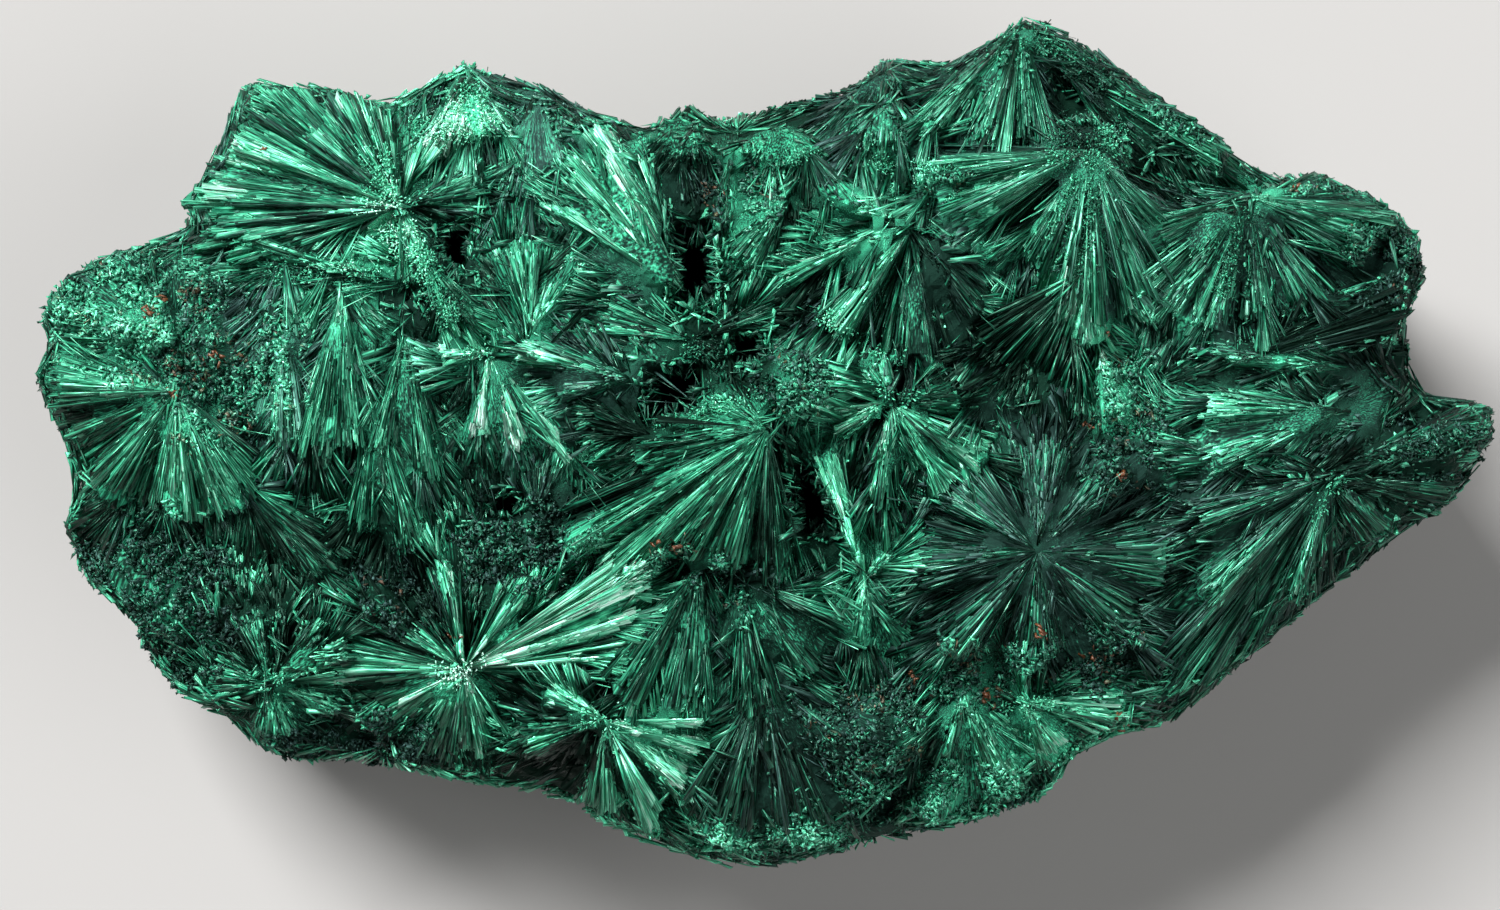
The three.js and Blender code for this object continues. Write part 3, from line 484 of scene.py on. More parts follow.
def laths(name, parts):
    """Three-sided laths, one per row: from a start to an end point, with a width at each, a
    thickness as a share of it, a roll about the length and a growth colour at each end. A ring is
    two edges and a keel set about the length; the end ring is broken off on a slant."""
    rows = [np.concatenate(p) for p in zip(*parts)]
    start, end, wide_start, wide_end, thick, roll, tone_start, tone_end = rows
    count = len(start)
    along, level, lift = across(start, end)
    ring = section(along, level, lift, roll, thick)
    slant = RNG.uniform(-1, 1, (count, 3, 1)) * wide_end[:, None, None] * 0.9
    foot = start[:, None] + ring * wide_start[:, None, None]
    head = end[:, None] + ring * wide_end[:, None, None] + along[:, None] * slant
    points = np.concatenate([foot, head], axis=1).reshape(-1, 3)
    first = (np.arange(count) * 6)[:, None]
    sides = np.concatenate([first + np.array([[a, b, b + 3, a + 3]])
                            for a, b in ((1, 0), (2, 1), (0, 2))])
    caps = np.concatenate([first + np.array([[0, 1, 2]]), first + np.array([[5, 4, 3]])])
    colours = np.repeat(np.stack([tone_start, tone_end], axis=1), 3, axis=1)
    lay = np.repeat(RNG.uniform(0, GRAIN_FIELD, (count, 3)), 6, axis=0)
    return mesh_object(name, points, [sides, caps], colours.reshape(-1, 4), lay,
                       on_sheet(count, LATH_OUTLINES))


def spikes(name, parts):
    """Laths that run from a point to a broken three-cornered end, one per row: a start and an end
    point, a width at the end, a thickness as a share of it, the way its flat side looks and a roll
    out of that, and a growth colour at each end. The end's corners are drawn back by different
    amounts, and the grain runs from point to end: finer than the lath across, slow along. Laths
    that would stand free of the solid are left out."""
    rows = [np.concatenate(p) for p in zip(*parts)]
    rooted = np.minimum(outside(rows[0]), outside(rows[1])) < FREE
    start, end, wide, thick, looks, roll, tone_start, tone_end = (r[rooted] for r in rows)
    count = len(start)
    along, level, lift = across(start, end)
    roll = roll + np.arctan2((looks * level).sum(axis=1), (looks * lift).sum(axis=1))
    ring = section(along, level, lift, roll, thick)
    slant = RNG.uniform(-1.6, 0.4, (count, 3, 1)) * wide[:, None, None]
    head = end[:, None] + ring * wide[:, None, None] + along[:, None] * slant
    points = np.concatenate([start[:, None], head], axis=1).reshape(-1, 3)
    first = (np.arange(count) * 4)[:, None]
    faces = np.concatenate([first + np.array([corners])
                            for corners in ((0, 2, 1), (0, 3, 2), (0, 1, 3), (1, 2, 3))])
    colours = np.stack([tone_start, tone_end, tone_end, tone_end], axis=1)
    lay = np.repeat(RNG.uniform(0, GRAIN_FIELD, (count, 1, 3)), 4, axis=1)
    lay[:, 1:, 0] += np.array([[-0.5, 0.5, 1.4]]) * wide[:, None] / GRAIN
    lay[:, 1:, 1] += np.linalg.norm(end - start, axis=1)[:, None] / DASH
    return mesh_object(name, points, [faces], colours.reshape(-1, 4), lay.reshape(-1, 3),
                       on_sheet(count, SPIKE_OUTLINES))


def growth(tone, chance, blue, rust=0.0):
    """Growth colours from tone, chance, blueness and rust."""
    return np.stack([tone, chance, np.clip(blue, 0, 1) + 0 * tone, rust + 0 * tone], axis=1)


# Sprays of the display face
CROWD, FILLED = 4, 1.3  # a heart with more fans than this has its fans so much wider: a whole disc
FANS = np.array([
    (hx, hy, ex, ey, math.radians(half * (FILLED if len(fans) > CROWD else 1)), tone, blue,
     len(fans) > CROWD)
    for hx, hy, tone, blue, fans in SPRAYS.values() for ex, ey, half in fans])
BLADE_BREADTH = 4.0  # in needles


def shared_dice(block, kinds, dice):
    """Random numbers for each lath, the same for all those of one block."""
    return RNG.random((kinds, dice))[block % kinds]


def blades_and_needles(count, width, share):
    """Widths, thicknesses and rolls of so many laths: a share are flat blades that lie face up,
    lined with finer fibres, the others single needles turned every way."""
    blade = RNG.random(count) < share
    broad = width * np.where(blade, BLADE_BREADTH, 1.0) * RNG.lognormal(0, 0.3, count)
    thick = np.where(blade, RNG.uniform(0.15, 0.35, count), RNG.uniform(0.4, 0.9, count))
    return broad, thick, RNG.normal(0, 1, count) * np.where(blade, 0.15, 1.0)


def upright(count):
    """The upward way, once for each of so many laths."""
    return np.tile(UP, (count, 1))


def any_roll(count):
    """Rolls by any angle, one for each of so many laths."""
    return RNG.uniform(-math.pi, math.pi, count)


# How the laths of a fan differ. Reaches and runs are shares of the fan's length.
DULL, FINER, SPARSER = 0.5, 0.68, 0.8  # sprays darker than this are so much finer and sparser
SPILL = 1.12  # how far a fan spreads past its half-angle
FEWEST_LATHS, FEWEST_BUNDLES = 24, 6
LATHS_IN_BUNDLE, BUNDLE_REACH = 3.6, (0.84, 1.05)
DEEP_SHARE, DEEP_RUN, DEPTHS = 0.2, (0.12, 0.3), (0.25, 2.6)
SHORT_SHARE, SHORT_REACH, RUN = 0.62, (0.12, 0.95), (0.3, 1.0)
LEFT_BARE = 0.02  # round the heart
SETTLED = 0.92  # past this the height of the display face is no longer followed
SEAT, PROUD_OF_FACE = 0.08, 0.10  # how deep a lath begins and how high it ends, in millimetres
EDGE_LIFT = 0.8  # of the sides of a crowded heart's fans, in millimetres
FALL, JUT_FALL, JUT_SHARE = 1.1, 0.25, 0.6  # steeper laths at a hollow's edge jut out instead
STEEPEST = 1.3


def fan_laths(fan, width, layers):
    """One fan of laths about its heart. Bundles at random angles share a lift, a reach and a tone;
    laths keep to the ray through the heart, lie on the display face and widen with the distance.
    A share lies deeper, near the broken end, so that the end shows tip above tip. The darker sprays
    are finer and more even."""
    hx, hy, ex, ey, half, tone, blue, crowded = fan
    dull = tone < DULL
    if dull:
        width, layers = FINER * width, SPARSER * layers
    length = math.hypot(ex - hx, ey - hy)
    middle = math.atan2(ey - hy, ex - hx)
    spread = half * SPILL
    columns = 2 * spread * length / width
    count = int(columns * layers) + FEWEST_LATHS
    bundles = max(FEWEST_BUNDLES, int(columns / LATHS_IN_BUNDLE))
    place = RNG.uniform(-1, 1, count) * spread
    which = np.clip(((place / spread + 1) / 2 * bundles).astype(int), 0, bundles - 1)
    bundle_reach = RNG.uniform(*BUNDLE_REACH, bundles)
    bundle_lift = RNG.normal(0, 0.16 if dull else 0.24, bundles)
    bundle_tone = RNG.normal(0, 0.07 if dull else 0.11, bundles)
    bundle_end = RNG.uniform(0, 1, bundles) ** 1.5
    turn = middle + place
    deep = RNG.random(count) < DEEP_SHARE
    short = RNG.random(count) < SHORT_SHARE
    reach = np.where(short & ~deep, RNG.uniform(*SHORT_REACH, count), bundle_reach[which])
    r1 = length * reach * (1 + RNG.normal(0, 0.02, count))
    r0 = r1 - length * np.where(deep, RNG.uniform(*DEEP_RUN, count), RNG.uniform(*RUN, count))
    r0 = np.maximum(r0, LEFT_BARE * length)
    below = np.where(deep, -RNG.uniform(*DEPTHS, count), 0)
    settled = np.minimum(r1, SETTLED * length)
    (x0, y0), (x1, y1), (xs, ys) = (
        (hx + np.cos(turn) * r, hy + np.sin(turn) * r) for r in (r0, r1, settled))
    lift = bundle_lift[which] + below + EDGE_LIFT * crowded * (place / spread) ** 2
    lift = lift * np.clip(r1 / length * 1.3, 0, 1)
    z0 = top(x0, y0) + lift * 0.4 - SEAT
    z1 = top(xs, ys) + lift + RNG.normal(PROUD_OF_FACE, 0.07, count)
    # Where the face drops into a hollow, the laths at its edge stand out over it.
    juts = (z1 < z0 - FALL * (r1 - r0)) & (off_vug(x1, y1) > 0.5) & (RNG.random(count) < JUT_SHARE)
    z1 = np.where(juts, z0 - JUT_FALL * (r1 - r0), z1)
    keep = on_face(x0, y0) & on_face(xs, ys) & on_face(x1, y1, NEARLY)
    keep &= RNG.random(count) > 1.3 * crustiness(xs, ys) ** 0.5
    keep &= np.abs(z1 - z0) < STEEPEST * (r1 - r0) + 0.5
    kept = int(keep.sum())
    r0, r1, which = r0[keep], r1[keep], which[keep]
    start, stop = seen(x0, y0, z0)[keep], seen(x1, y1, z1)[keep]
    shade = tone + bundle_tone[which] + RNG.normal(0, 0.08 if dull else 0.12, kept)
    # Painted shade: the place adds its painted shade and light, and the laths that lie deeper are
    # darker still.
    shade += painted_shade_and_light_at(xs[keep], ys[keep]) - 0.16 * deep[keep]
    heart_glow = 0.12 * np.exp(-(r0 / (0.2 * length)) ** 2)
    end_glow = (0.3 if dull else 0.42) * bundle_end[which]
    end_glow = end_glow * np.clip((r1 / length - 0.72) / 0.25, 0, 1)
    chance, bluish = RNG.random(kept), blue + RNG.normal(0, 0.12, kept)
    broad, thick, roll = blades_and_needles(kept, width, 0.4)
    broad *= 0.5 + 0.5 * r1 / length
    looks = facing((x0 + xs)[keep] / 2, (y0 + ys)[keep] / 2)
    return (start, stop, broad, thick, looks, roll,
            growth(shade + heart_glow, chance, bluish), growth(shade + end_glow, chance, bluish))


AT_ONCE = 6000  # points looked up in one go, to spare memory


def near_fan(x, y):
    """For each point the fan whose middle line passes nearest, and whether the point lies well
    inside the sector of any fan."""
    hx, hy, ex, ey, half = FANS[:, :5].T
    way = np.arctan2(ey - hy, ex - hx)
    length = np.hypot(ex - hx, ey - hy)
    owner, covered = [], []
    for some in np.array_split(np.arange(len(x)), max(1, len(x) // AT_ONCE)):
        dx, dy = x[some, None] - hx, y[some, None] - hy
        along = dx * np.cos(way) + dy * np.sin(way)
        beside = np.abs(dy * np.cos(way) - dx * np.sin(way))
        past = np.maximum(np.maximum(-along, along - length), 0)
        owner.append(np.argmin(np.hypot(past, beside), axis=1))
        inside = (beside < np.tan(0.85 * half) * along) & (np.hypot(dx, dy) < 0.9 * length)
        covered.append(inside.any(axis=1))
    return np.concatenate(owner), np.concatenate(covered)


# How the laths between the fans differ.
MOST_TURN = 0.5  # off the middle line of the nearest fan, in radians
BLOCK_LONG, BLOCK_WIDE, SHIFTED = 2.7, 1.5, 0.37
AMONG_FANS, INTO_HOLLOWS = 0.16, 0.15  # shares of the laths that are kept there
TOO_STEEP, HANGING_SHARE = 2.2, 0.15


def ground_laths(count, width):
    """Laths over all that the listed fans leave free, and a few among theirs. Each follows the
    nearest fan: the ray from its heart, but never far off its middle line. Small blocks, shifted
    row by row, share a turn, a lift, a slope and a tone. Where the face falls away below the head,
    a few jut out."""
    x = RNG.uniform(-HALF_LENGTH, HALF_LENGTH, count)
    y = RNG.uniform(-HALF_WIDTH, HALF_WIDTH, count)
    keep = on_face(x, y) & (RNG.random(count) > 1.2 * crustiness(x, y) ** 0.5)
    x, y = x[keep], y[keep]
    owner, covered = near_fan(x, y)
    covered &= RNG.random(len(x)) > AMONG_FANS
    x, y, owner = x[~covered], y[~covered], owner[~covered]
    hx, hy, ex, ey, _, tone, blue, _ = FANS[owner].T
    way = np.arctan2(ey - hy, ex - hx)
    off = (np.arctan2(y - hy, x - hx) - way + math.pi) % TAU - math.pi
    turn = way + np.clip(off, -MOST_TURN, MOST_TURN)
    u = (x * np.cos(way) + y * np.sin(way)) / BLOCK_LONG
    v = (y * np.cos(way) - x * np.sin(way)) / BLOCK_WIDE
    row = np.floor(v)
    place = np.floor(u + row * SHIFTED)
    dice = shared_dice(owner * 977 + place.astype(int) * 31 + row.astype(int) * 7, 8192, 5)
    turn = turn + (dice[:, 4] - 0.5) * 0.9 + (v - row - 0.5) * 0.5 + RNG.normal(0, 0.05, len(x))
    reach = RNG.uniform(0.9, 2.6, len(x))
    x0, y0 = x - np.cos(turn) * reach, y - np.sin(turn) * reach
    x1, y1 = x + np.cos(turn) * reach * 0.8, y + np.sin(turn) * reach * 0.8
    lift = (dice[:, 0] - 0.5) * 1.1 - 0.25 + RNG.normal(0, 0.08, len(x))
    z0 = top(x0, y0) + lift - 0.45
    z1 = top(x1, y1) + lift + dice[:, 1] * 0.6
    hangs = z1 < z0 - TOO_STEEP * reach
    z1 = np.where(hangs, z0 - 0.5 * reach, z1)
    keep = on_face(x0, y0) & on_face(x1, y1) & (z1 <= z0 + TOO_STEEP * reach)
    keep &= ~(hangs & (RNG.random(len(x)) < 1 - HANGING_SHARE))
    keep &= (off_vug((x0 + x1) / 2, (y0 + y1) / 2) > 1) | (RNG.random(len(x)) < INTO_HOLLOWS)
    kept = int(keep.sum())
    start, stop = seen(x0, y0, z0)[keep], seen(x1, y1, z1)[keep]
    dice = dice[keep]
    # The laths between the fans are darker than the fans' own tone, painted shade at the fans'
    # feet, and the place adds its painted shade and light.
    shade = np.minimum(tone[keep], 0.5) * 0.72 + (dice[:, 2] - 0.5) * 0.36
    shade = shade + RNG.normal(0, 0.09, kept) + painted_shade_and_light_at(x1[keep], y1[keep])
    bluish = blue[keep] * 0.8 + (dice[:, 3] > 0.85) * 0.4
    chance = RNG.random(kept)
    broad, thick, roll = blades_and_needles(kept, width, 0.25)
    return (start, stop, broad, thick, facing(x[keep], y[keep]), roll,
            growth(shade, chance, bluish), growth(shade + 0.3 * (dice[:, 1] > 0.6), chance, bluish))


def vug_needles(per_mm):
    """Needles that stand in from the walls of the hollows: level rays from points of each hollow's
    middle line meet the wall, and a needle leads back from there, askew, as far as there is room.
    Those deeper in are darker, painted shade that deepens towards the bottom of the hollow."""
    starts, stops, tones = [], [], []
    for cx, cy, rx, ry in VUGS:
        mouth = float(np.max(top(cx + rx * np.cos(AROUND), cy + ry * np.sin(AROUND))))
        for _ in range(int(per_mm * (rx + ry))):
            depth, turn = RNG.uniform(0, 9), RNG.uniform(0, TAU)
            axis = seen(np.array(cx), np.array(cy), np.array(mouth - depth))
            out = np.array([math.cos(turn), math.sin(turn), 0.0])
            hit = tree.ray_cast(Vector(axis * MM), Vector(out), 1.6 * max(rx, ry) * MM)[0]
            if hit is None:
                continue
            wall = np.array(hit) / MM
            room = np.linalg.norm(wall - axis)
            way = unit(-out + RNG.normal(0, 1, 3) * np.array([0.45, 0.45, 0.35]))
            starts.append(wall - way * 0.4)
            stops.append(wall + way * min(RNG.uniform(0.5, 2.2), 0.6 * room))
            # Painted shade: the deeper the needle sits in the hollow, the darker its tone.
            tones.append(0.40 - 0.05 * depth)
    count = len(starts)
    tone = np.array(tones) + RNG.normal(0, 0.12, count)
    chance = RNG.random(count)
    broad, thick, roll = blades_and_needles(count, 0.11, 0.2)
    return (np.array(starts), np.array(stops), broad, thick, upright(count), roll,
            growth(tone - 0.1, chance, 0.1), growth(tone + 0.1, chance, 0.1))


def crust_grains(count):
    """Short stout crystals that stand every way on the patches of crust: places drawn by area from
    the patches, axes drawn from a half ball about the upward way."""
    area = np.array([c[2] * c[3] for c in CRUSTS])
    which = RNG.choice(len(CRUSTS), count, p=area / area.sum())
    cx, cy, rx, ry, tone, brown = np.array(CRUSTS)[which].T
    far = np.sqrt(RNG.random(count)) * RNG.uniform(0.9, 1.12, count)
    turn = RNG.uniform(0, TAU, count)
    x, y = cx + rx * far * np.cos(turn), cy + ry * far * np.sin(turn)
    keep = on_face(x, y)
    x, y, tone, brown = x[keep], y[keep], tone[keep], brown[keep]
    kept = len(x)
    axis = unit(RNG.normal(0, 1, (kept, 3)) * np.array([1, 1, 0.6]) + np.array([0, 0, 0.45]))
    long = RNG.uniform(0.35, 1.0, kept)[:, None]
    swell = np.sin(x * 1.7 + np.sin(y * 1.3) * 2) * np.sin(y * 1.9 + np.sin(x * 1.1) * 2)
    seat = seen(x, y, top(x, y) + 0.45 * swell + RNG.normal(0.05, 0.12, kept))
    start, stop = seat - axis * long * 0.6, seat + axis * long * 0.4
    patchy = np.sin(x * 0.9 + 1.3) * np.sin(y * 1.1 + 0.4 * x) > 0.1
    rust = RNG.uniform(0.2, 0.75, kept) * (RNG.random(kept) < brown * 2.5 * patchy)
    # Grains in the dips of the swell are darker and those on its rises paler, painted shade and
    # light; the place adds its painted shade and light too.
    shade = growth(tone + 0.13 * swell + RNG.normal(0, 0.14, kept) + painted_shade_and_light_at(x, y),
                   RNG.random(kept), RNG.uniform(0, 0.6, kept), rust)
    return (start, stop, RNG.uniform(0.16, 0.40, kept), RNG.uniform(0.5, 0.95, kept),
            upright(kept), any_roll(kept), shade, shade)


def felt(per_mm2):
    """Short fine fibres that stand on end along the felted crests, leaning a little every way:
    places drawn evenly along each crest, and thinning out to its sides."""
    made = []
    for ax, ay, bx, by, half_width, tone in FELTS:
        length = math.hypot(bx - ax, by - ay)
        count = int((length + half_width) * 2 * half_width * per_mm2)
        share = RNG.uniform(-half_width, length + half_width, count) / max(length, 0.1)
        beside = RNG.normal(0, 0.5 * half_width, count)
        x = ax + (bx - ax) * share - (by - ay) / length * beside
        y = ay + (by - ay) * share + (bx - ax) / length * beside
        keep = on_face(x, y)
        x, y, kept = x[keep], y[keep], int(keep.sum())
        axis = unit(RNG.normal(0, 0.5, (kept, 3)) * np.array([1, 1, 0]) + np.array([0, 0, 1]))
        seat = seen(x, y, top(x, y) - 0.1)
        stop = seat + axis * RNG.uniform(0.3, 0.85, kept)[:, None]
        shade = growth(tone + RNG.normal(0, 0.12, kept) + painted_shade_and_light_at(x, y), RNG.random(kept), 0.05)
        made.append((seat, stop, RNG.uniform(0.08, 0.17, kept), RNG.uniform(0.5, 0.95, kept),
                     upright(kept), any_roll(kept), shade, shade))
    return made


# Where the rusty specks sit.
SPECKS = [
    (-36, 21), (-44.5, 9.3), (-42.5, 3.5), (-22.5, -14), (-21.5, -14.8), (-7.5, -7), (-4.5, -8.3),
    (17, -15), (11, -17), (16, -18.3), (20, -13.8), (23.5, -15), (26, -20.2), (23.5, 1.2),
    (26, -2.5), (38.5, 18.5), (24.8, 8), (-6.2, -7.8), (-43.4, 10.4), (-39.6, 6.2),
]


def rust_specks(each):
    """A pinch of rusty grains at each of the listed places."""
    x, y = np.repeat(np.array(SPECKS), each, axis=0).T
    x, y = x + RNG.normal(0, 0.28, len(x)), y + RNG.normal(0, 0.28, len(y))
    axis = unit(RNG.normal(0, 1, (len(x), 3)))
    seat = seen(x, y, top(x, y) + RNG.uniform(0.15, 0.5, len(x)))
    long = RNG.uniform(0.12, 0.3, len(x))[:, None]
    wide = RNG.uniform(0.12, 0.3, len(x))
    shade = growth(RNG.uniform(0.2, 0.6, len(x)), RNG.random(len(x)), 0, 1.0)
    return (seat - axis * long, seat + axis * long, wide, wide, RNG.uniform(0.6, 1, len(x)),
            any_roll(len(x)), shade, shade)


# Flanks and underside
def read(items, key, kind=np.float32):
    """Three numbers of each item of a mesh, such as a point's place, as rows of an array."""
    values = np.empty(len(items) * 3, kind)
    items.foreach_get(key, values)
    return values.reshape(-1, 3)


def solid_faces():
    """Corners, outward ways and areas of the solid's triangles, in millimetres."""
    mesh = solid.data
    mesh.calc_loop_triangles()
    corners = read(mesh.loop_triangles, "vertices", np.int32)
    tri = (read(mesh.vertices, "co") / MM)[corners].astype(float)
    cross = np.cross(tri[:, 1] - tri[:, 0], tri[:, 2] - tri[:, 0])
    return tri, unit(cross), np.linalg.norm(cross, axis=1) / 2


TRIANGLES, OUTWARD, AREA = solid_faces()
MIDDLE = TRIANGLES.mean(axis=1)
# The area of each triangle that the display face doesn't show, the resting face left out.
FACES_UP, FLANK_TOP, FOOT = 0.35, 27, 0.2
HIDDEN = AREA * ((OUTWARD[:, 2] < FACES_UP) & (MIDDLE[:, 2] < FLANK_TOP) & (MIDDLE[:, 2] > FOOT))
HEART_SPACING = 7.5  # between the hearts of the sprays there


def on_flanks(count):
    """Points drawn evenly over what the display face doesn't show, and the outward ways there."""
    pick = RNG.choice(len(TRIANGLES), count, p=HIDDEN / HIDDEN.sum())
    return np.einsum("ij,ijk->ik", RNG.dirichlet([1, 1, 1], count), TRIANGLES[pick]), OUTWARD[pick]


FLANK_HEARTS = on_flanks(int(HIDDEN.sum() / HEART_SPACING ** 2))[0]
SPRAY_HEARTS = np.array([s[:4] for s in SPRAYS.values()])


def flank_laths(count, width):
    """Laths on what the display face doesn't show. Each keeps to the ray from its nearest heart,
    drawn in the surface, and both its ends are brought to the surface. Nothing reaches under the
    resting plane or more than a little past the rim as the display face shows it."""
    place, normal = on_flanks(count)
    away = np.linalg.norm(place[:, None] - FLANK_HEARTS[None], axis=2)
    owner = np.argmin(away, axis=1)
    ray = place - FLANK_HEARTS[owner]
    ray = unit(ray - normal * (ray * normal).sum(axis=1)[:, None] + RNG.normal(0, 0.03, ray.shape))
    ray = unit(ray + np.cross(normal, ray) * RNG.normal(0, 0.06, count)[:, None])
    ring = np.floor(away.min(axis=1) / 2.6).astype(int)
    dice = shared_dice(owner * 977 + ring * 7 + RNG.integers(0, 3, count), 4096, 3)
    reach = RNG.uniform(0.9, 2.4, count)[:, None]
    lift = (dice[:, 0] - 0.5) * 0.5
    start = to_surface(place - ray * reach, lift - 0.15)
    stop = to_surface(place + ray * reach, lift + 0.05 + dice[:, 1] * 0.35)
    shown = on_face(*as_seen(stop).T, NEARLY)
    keep = (np.minimum(start[:, 2], stop[:, 2]) > 0.22) & shown
    keep &= np.linalg.norm(stop - start, axis=1) < 2.6 * reach[:, 0]
    start, stop, dice = start[keep], stop[keep], dice[keep]
    kept = len(start)
    near = np.linalg.norm(start[:, None, :2] - SPRAY_HEARTS[:, :2], axis=2).argmin(axis=1)
    shade = SPRAY_HEARTS[near, 2] * 0.85 + (dice[:, 2] - 0.5) * 0.3 + RNG.normal(0, 0.08, kept)
    chance = RNG.random(kept)
    bluish = SPRAY_HEARTS[near, 3] * 0.6
    broad = width * RNG.lognormal(0, 0.32, kept)
    return (start, stop, broad, RNG.uniform(0.4, 0.9, kept), upright(kept), any_roll(kept),
            growth(shade, chance, bluish), growth(shade + 0.2 * (dice[:, 1] > 0.6), chance, bluish))


# The mass under the needles
WAVES, WAVE_HEIGHT = (1.1, 1.7, 2.3, 3.1, 4.3, 5.9), 0.12  # radians to a millimetre, millimetres


def mass(voxel):
    """The solid itself, rebuilt from small cubes and then pushed in and out by a few crossed waves
    of random direction, so that it reads as a rough mass between the laths. Its grain is the way
    from the heart that each point belongs to, and its tone that heart's, capped and darkened as
    painted shade in the gaps between the laths, with the place's painted shade and light added."""
    body = solid.copy()
    body.data = solid.data.copy()
    body.name = "malachite_mass"
    bpy.context.scene.collection.objects.link(body)
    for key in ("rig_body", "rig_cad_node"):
        if key in body:
            del body[key]
    body.parent = None
    grain = body.modifiers.new("grain", "REMESH")
    grain.mode = "VOXEL"
    grain.voxel_size = voxel * MM
    evaluated = body.evaluated_get(bpy.context.evaluated_depsgraph_get())
    mesh = bpy.data.meshes.new_from_object(evaluated)
    body.modifiers.clear()
    body.data = mesh
    points = read(mesh.vertices, "co").astype(float) / MM
    normals = read(mesh.vertices, "normal").astype(float)
    push = np.zeros(len(points))
    for wave in WAVES:
        for _ in range(3):
            ray = unit(RNG.normal(0, 1, 3))
            push += np.sin(points @ ray * wave + RNG.uniform(0, TAU)) * WAVE_HEIGHT / wave
    resting = points[:, 2] < 0.3
    points += normals * np.where(resting, 0, push - WAVE_HEIGHT)[:, None]
    points[:, 2] = np.maximum(points[:, 2], 0)
    mesh.vertices.foreach_set("co", (points * MM).astype(np.float32).ravel())
    x, y = as_seen(points).T
    fan, _ = near_fan(x, y)
    hearts = seen(FANS[:, 0], FANS[:, 1], top(FANS[:, 0], FANS[:, 1]) + 0.4)[fan]
    flank = np.linalg.norm(points[:, None].astype(np.float32)
                           - FLANK_HEARTS[None].astype(np.float32), axis=2)
    below = (normals[:, 2] < 0.2) & (points[:, 2] < 24)
    hearts = np.where(below[:, None], FLANK_HEARTS[flank.argmin(axis=1)], hearts)
    lay = unit(points - hearts) * 64 + (hearts.sum(axis=1) * 7.3)[:, None]
    # The mass shows only in the gaps between the laths: its tone is held low there as painted
    # shade, and the place adds its painted shade and light.
    tone = np.minimum(FANS[fan, 5], 0.5) * 0.75 + painted_shade_and_light_at(x, y)
    mark(mesh, growth(tone, np.full(len(points), 0.5), FANS[fan, 6] * 0.5), lay)
    mesh.update()
    return body


# Looks
class Socket:
    """A value in a material's tree that can be reckoned with: each operation adds a Math node."""

    def __init__(self, tree, socket=None):
        self.tree, self.socket = tree, socket

    def node(self, kind, settings=None, values=None, output=0):
        """One output of a new node, once its settings and then its sockets are set."""
        made = self.tree.nodes.new(kind)
        for key, value in (settings or {}).items():
            setattr(made, key, value)
        for key, value in (values or {}).items():
            if isinstance(value, Socket):
                self.tree.links.new(value.socket, made.inputs[key])
            else:
                made.inputs[key].default_value = value
        return Socket(self.tree, made.outputs[output])

    def beside(self, output):
        """Another output of the node that this value comes from."""
        return Socket(self.tree, self.socket.node.outputs[output])

    def feed(self, target):
        """Leads this value to a socket of the shader."""
        self.tree.links.new(self.socket, target)

    def math(self, operation, *others):
        return self.node("ShaderNodeMath", {"operation": operation},
                         dict(enumerate((self, *others))))

    def __add__(self, other):
        return self.math("ADD", other)

    def __mul__(self, other):
        return self.math("MULTIPLY", other)

    def __sub__(self, other):
        return self.math("SUBTRACT", other)

    def __rsub__(self, other):
        return (self * -1) + other

    def __truediv__(self, other):
        return self.math("DIVIDE", other)

    __radd__, __rmul__ = __add__, __mul__

    def above(self, low_end, high_end):
        """0 up to the low end, 1 from the high end on, and evenly between."""
        share = (self - low_end) / (high_end - low_end)
        return share.math("MAXIMUM", 0.0).math("MINIMUM", 1.0)

    def mix(self, a, b):
        """Colour a where this value is 0, b where it is 1."""
        values = {"Factor": self, 6: a, 7: b}
        return self.node("ShaderNodeMix", {"data_type": "RGBA"}, values, output=2)

    def noise(self, scale, detail):
        """Noise on this vector, about a half."""
        return self.node("ShaderNodeTexNoise", {},
                         {"Vector": self, "Scale": scale, "Detail": detail})


# The greens from dark to pale, each with the depths over which it takes over from the one before.
BLACK_GREEN = (0.0012, 0.0170, 0.0095, 1)
GREENS = {
    "deep green": (0.0, 0.26, (0.0040, 0.056, 0.032, 1)),
    "emerald": (0.20, 0.50, (0.0130, 0.205, 0.110, 1)),
    "bright green": (0.46, 0.78, (0.055, 0.47, 0.26, 1)),
    "mint": (0.74, 1.02, (0.20, 0.85, 0.54, 1)),
    "pale": (1.00, 1.25, (0.58, 0.92, 0.78, 1)),
}
STEEL_BLUE = (0.090, 0.19, 0.185, 1)
RUST = (0.095, 0.034, 0.012, 1)
MALACHITE_IOR, TABLE_IOR = 1.65, 1.45
MOTTLES, GRITS = 160.0, 2600.0  # to a metre
BUMP_HEIGHT = 0.00025  # metres


def material(name, ior):
    """A new material with this index of refraction, and its shader."""
    made = bpy.data.materials.new(name)
    made.use_nodes = True
    shader = made.node_tree.nodes["Principled BSDF"]
    shader.inputs["IOR"].default_value = ior
    return made, shader


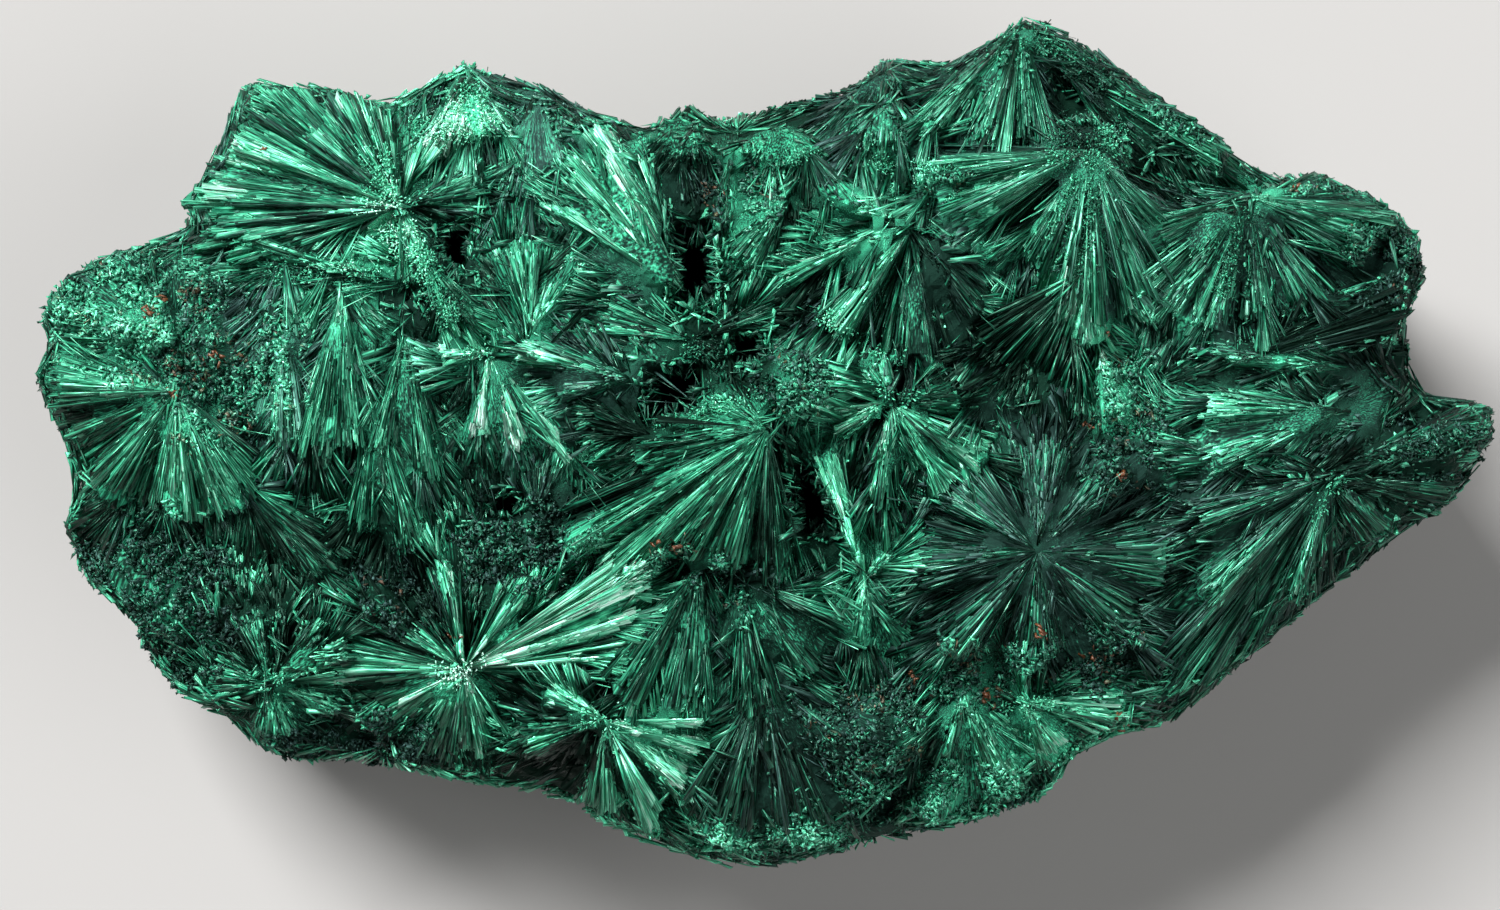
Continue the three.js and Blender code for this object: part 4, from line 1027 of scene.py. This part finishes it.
def malachite(name, gleam, dullness, grit):
    """Green by tone from black through emerald to mint and pale, some laths greyed towards steel
    blue, mottled along the piece and streaked along the grain, with a silky gleam; the rusty
    grains are dull. Grit roughens the surface between the fibres."""
    made, shader = material(name, MALACHITE_IOR)
    shader.inputs["Specular IOR Level"].default_value = 0.36 - 0.28 * dullness
    start = Socket(made.node_tree)
    marks = start.node("ShaderNodeAttribute", {"attribute_name": "growth"}, output="Color")
    tone = marks.node("ShaderNodeSeparateColor", values={"Color": marks}, output="Red")
    chance, blue, rust = tone.beside("Green"), tone.beside("Blue"), marks.beside("Alpha")
    grain = start.node("ShaderNodeAttribute", {"attribute_name": "lay"}, output="Vector")
    place = start.node("ShaderNodeTexCoord", output="Object")
    mottle, streak = place.noise(MOTTLES, 3.0), grain.noise(1.0, 2.0)
    depth = tone - 0.10 + (mottle - 0.5) * 0.4 + (streak - 0.5) * 1.9
    colour = BLACK_GREEN
    for from_depth, to_depth, green in GREENS.values():
        colour = depth.above(from_depth, to_depth).mix(colour, green)
    colour = (blue * chance.above(0.15, 0.85) * 0.7).mix(colour, STEEL_BLUE)
    rust.mix(colour, RUST).feed(shader.inputs["Base Color"])
    # The darkest fibres are rougher, and their shine takes on their colour.
    roughness = 0.26 + 0.4 * dullness + chance * 0.22 + (1 - depth.above(0.0, 0.4)) * 0.12
    roughness.feed(shader.inputs["Roughness"])
    tinted = gleam + 0.6 * (1 - depth.above(0.0, 0.36))
    (tinted * (1 - rust)).feed(shader.inputs["Metallic"])
    height = streak * 0.6 + place.noise(GRITS, 2.0) * grit if grit else streak
    bump = {"Height": height, "Strength": 0.55, "Distance": BUMP_HEIGHT}
    height.node("ShaderNodeBump", values=bump).feed(shader.inputs["Normal"])
    return made


# Put together
body = mass(0.78)
fans_left, fans_right = FANS[FANS[:, 0] < 0], FANS[FANS[:, 0] >= 0]
pieces = [
    spikes("spray_laths_left", [fan_laths(fan, 0.09, 13) for fan in fans_left]),
    spikes("spray_laths_right", [fan_laths(fan, 0.09, 11) for fan in fans_right]),
    spikes("ground_laths", [ground_laths(180000, 0.09)]),
    spikes("flank_laths", [flank_laths(38000, 0.26)]),
    spikes("vug_needles", [vug_needles(45)]),
    spikes("crust_grains", [crust_grains(32000)]),
    spikes("felt_fibres", felt(60)),
    laths("rust_specks", [rust_specks(7)]),
]
fibres = malachite("malachite_laths", 0.25, 0, 0)
for piece in pieces:
    piece.data.materials.append(fibres)
body.data.materials.clear()
body.data.materials.append(malachite("malachite_mass", 0.1, 0.8, 0.8))
for piece in [body, *pieces]:
    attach(piece, "root")
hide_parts(NODE)

# Table, light and camera
TABLE_COLOUR, ROOM_COLOUR = (0.255, 0.250, 0.244, 1), (0.96, 0.98, 0.97, 1)
LIT = Vector((0, 0, 0.02))  # the point that the lamps look at
SENSOR = 36  # millimetres

bpy.ops.mesh.primitive_plane_add(size=3.0, location=(0, 0, 0))
table = bpy.context.object
table.name = "table"
table_finish, table_shader = material("table", TABLE_IOR)
for key, value in (("Base Color", TABLE_COLOUR), ("Roughness", 0.95), ("Specular IOR Level", 0.1)):
    table_shader.inputs[key].default_value = value
table.data.materials.append(table_finish)


def lamp(name, place, size, power):
    """A square lamp that looks at the specimen."""
    light = bpy.data.lights.new(name, "AREA")
    light.size, light.energy = size, power
    made = bpy.data.objects.new(name, light)
    made.location = place
    made.rotation_euler = (LIT - Vector(place)).to_track_quat("-Z", "Y").to_euler()
    bpy.context.scene.collection.objects.link(made)


lamp("window", (-0.88, 1.16, 1.55), 0.85, 152.0)
lamp("bounce", (0.90, -0.30, 0.90), 1.2, 16.0)
world = bpy.data.worlds.new("room")
world.use_nodes = True
room = world.node_tree.nodes["Background"]
room.inputs["Color"].default_value = ROOM_COLOUR
room.inputs["Strength"].default_value = 0.15
bpy.context.scene.world = world

camera_data = bpy.data.cameras.new("camera")
camera_data.sensor_width = SENSOR
camera_data.lens = LENS_SCALE * (EYE[2] - GIRTH) * SENSOR
camera_data.clip_end = 10
camera = bpy.data.objects.new("camera", camera_data)
camera.location = EYE * MM
bpy.context.scene.collection.objects.link(camera)
bpy.context.scene.camera = camera
bpy.context.scene.view_settings.view_transform = "Standard"
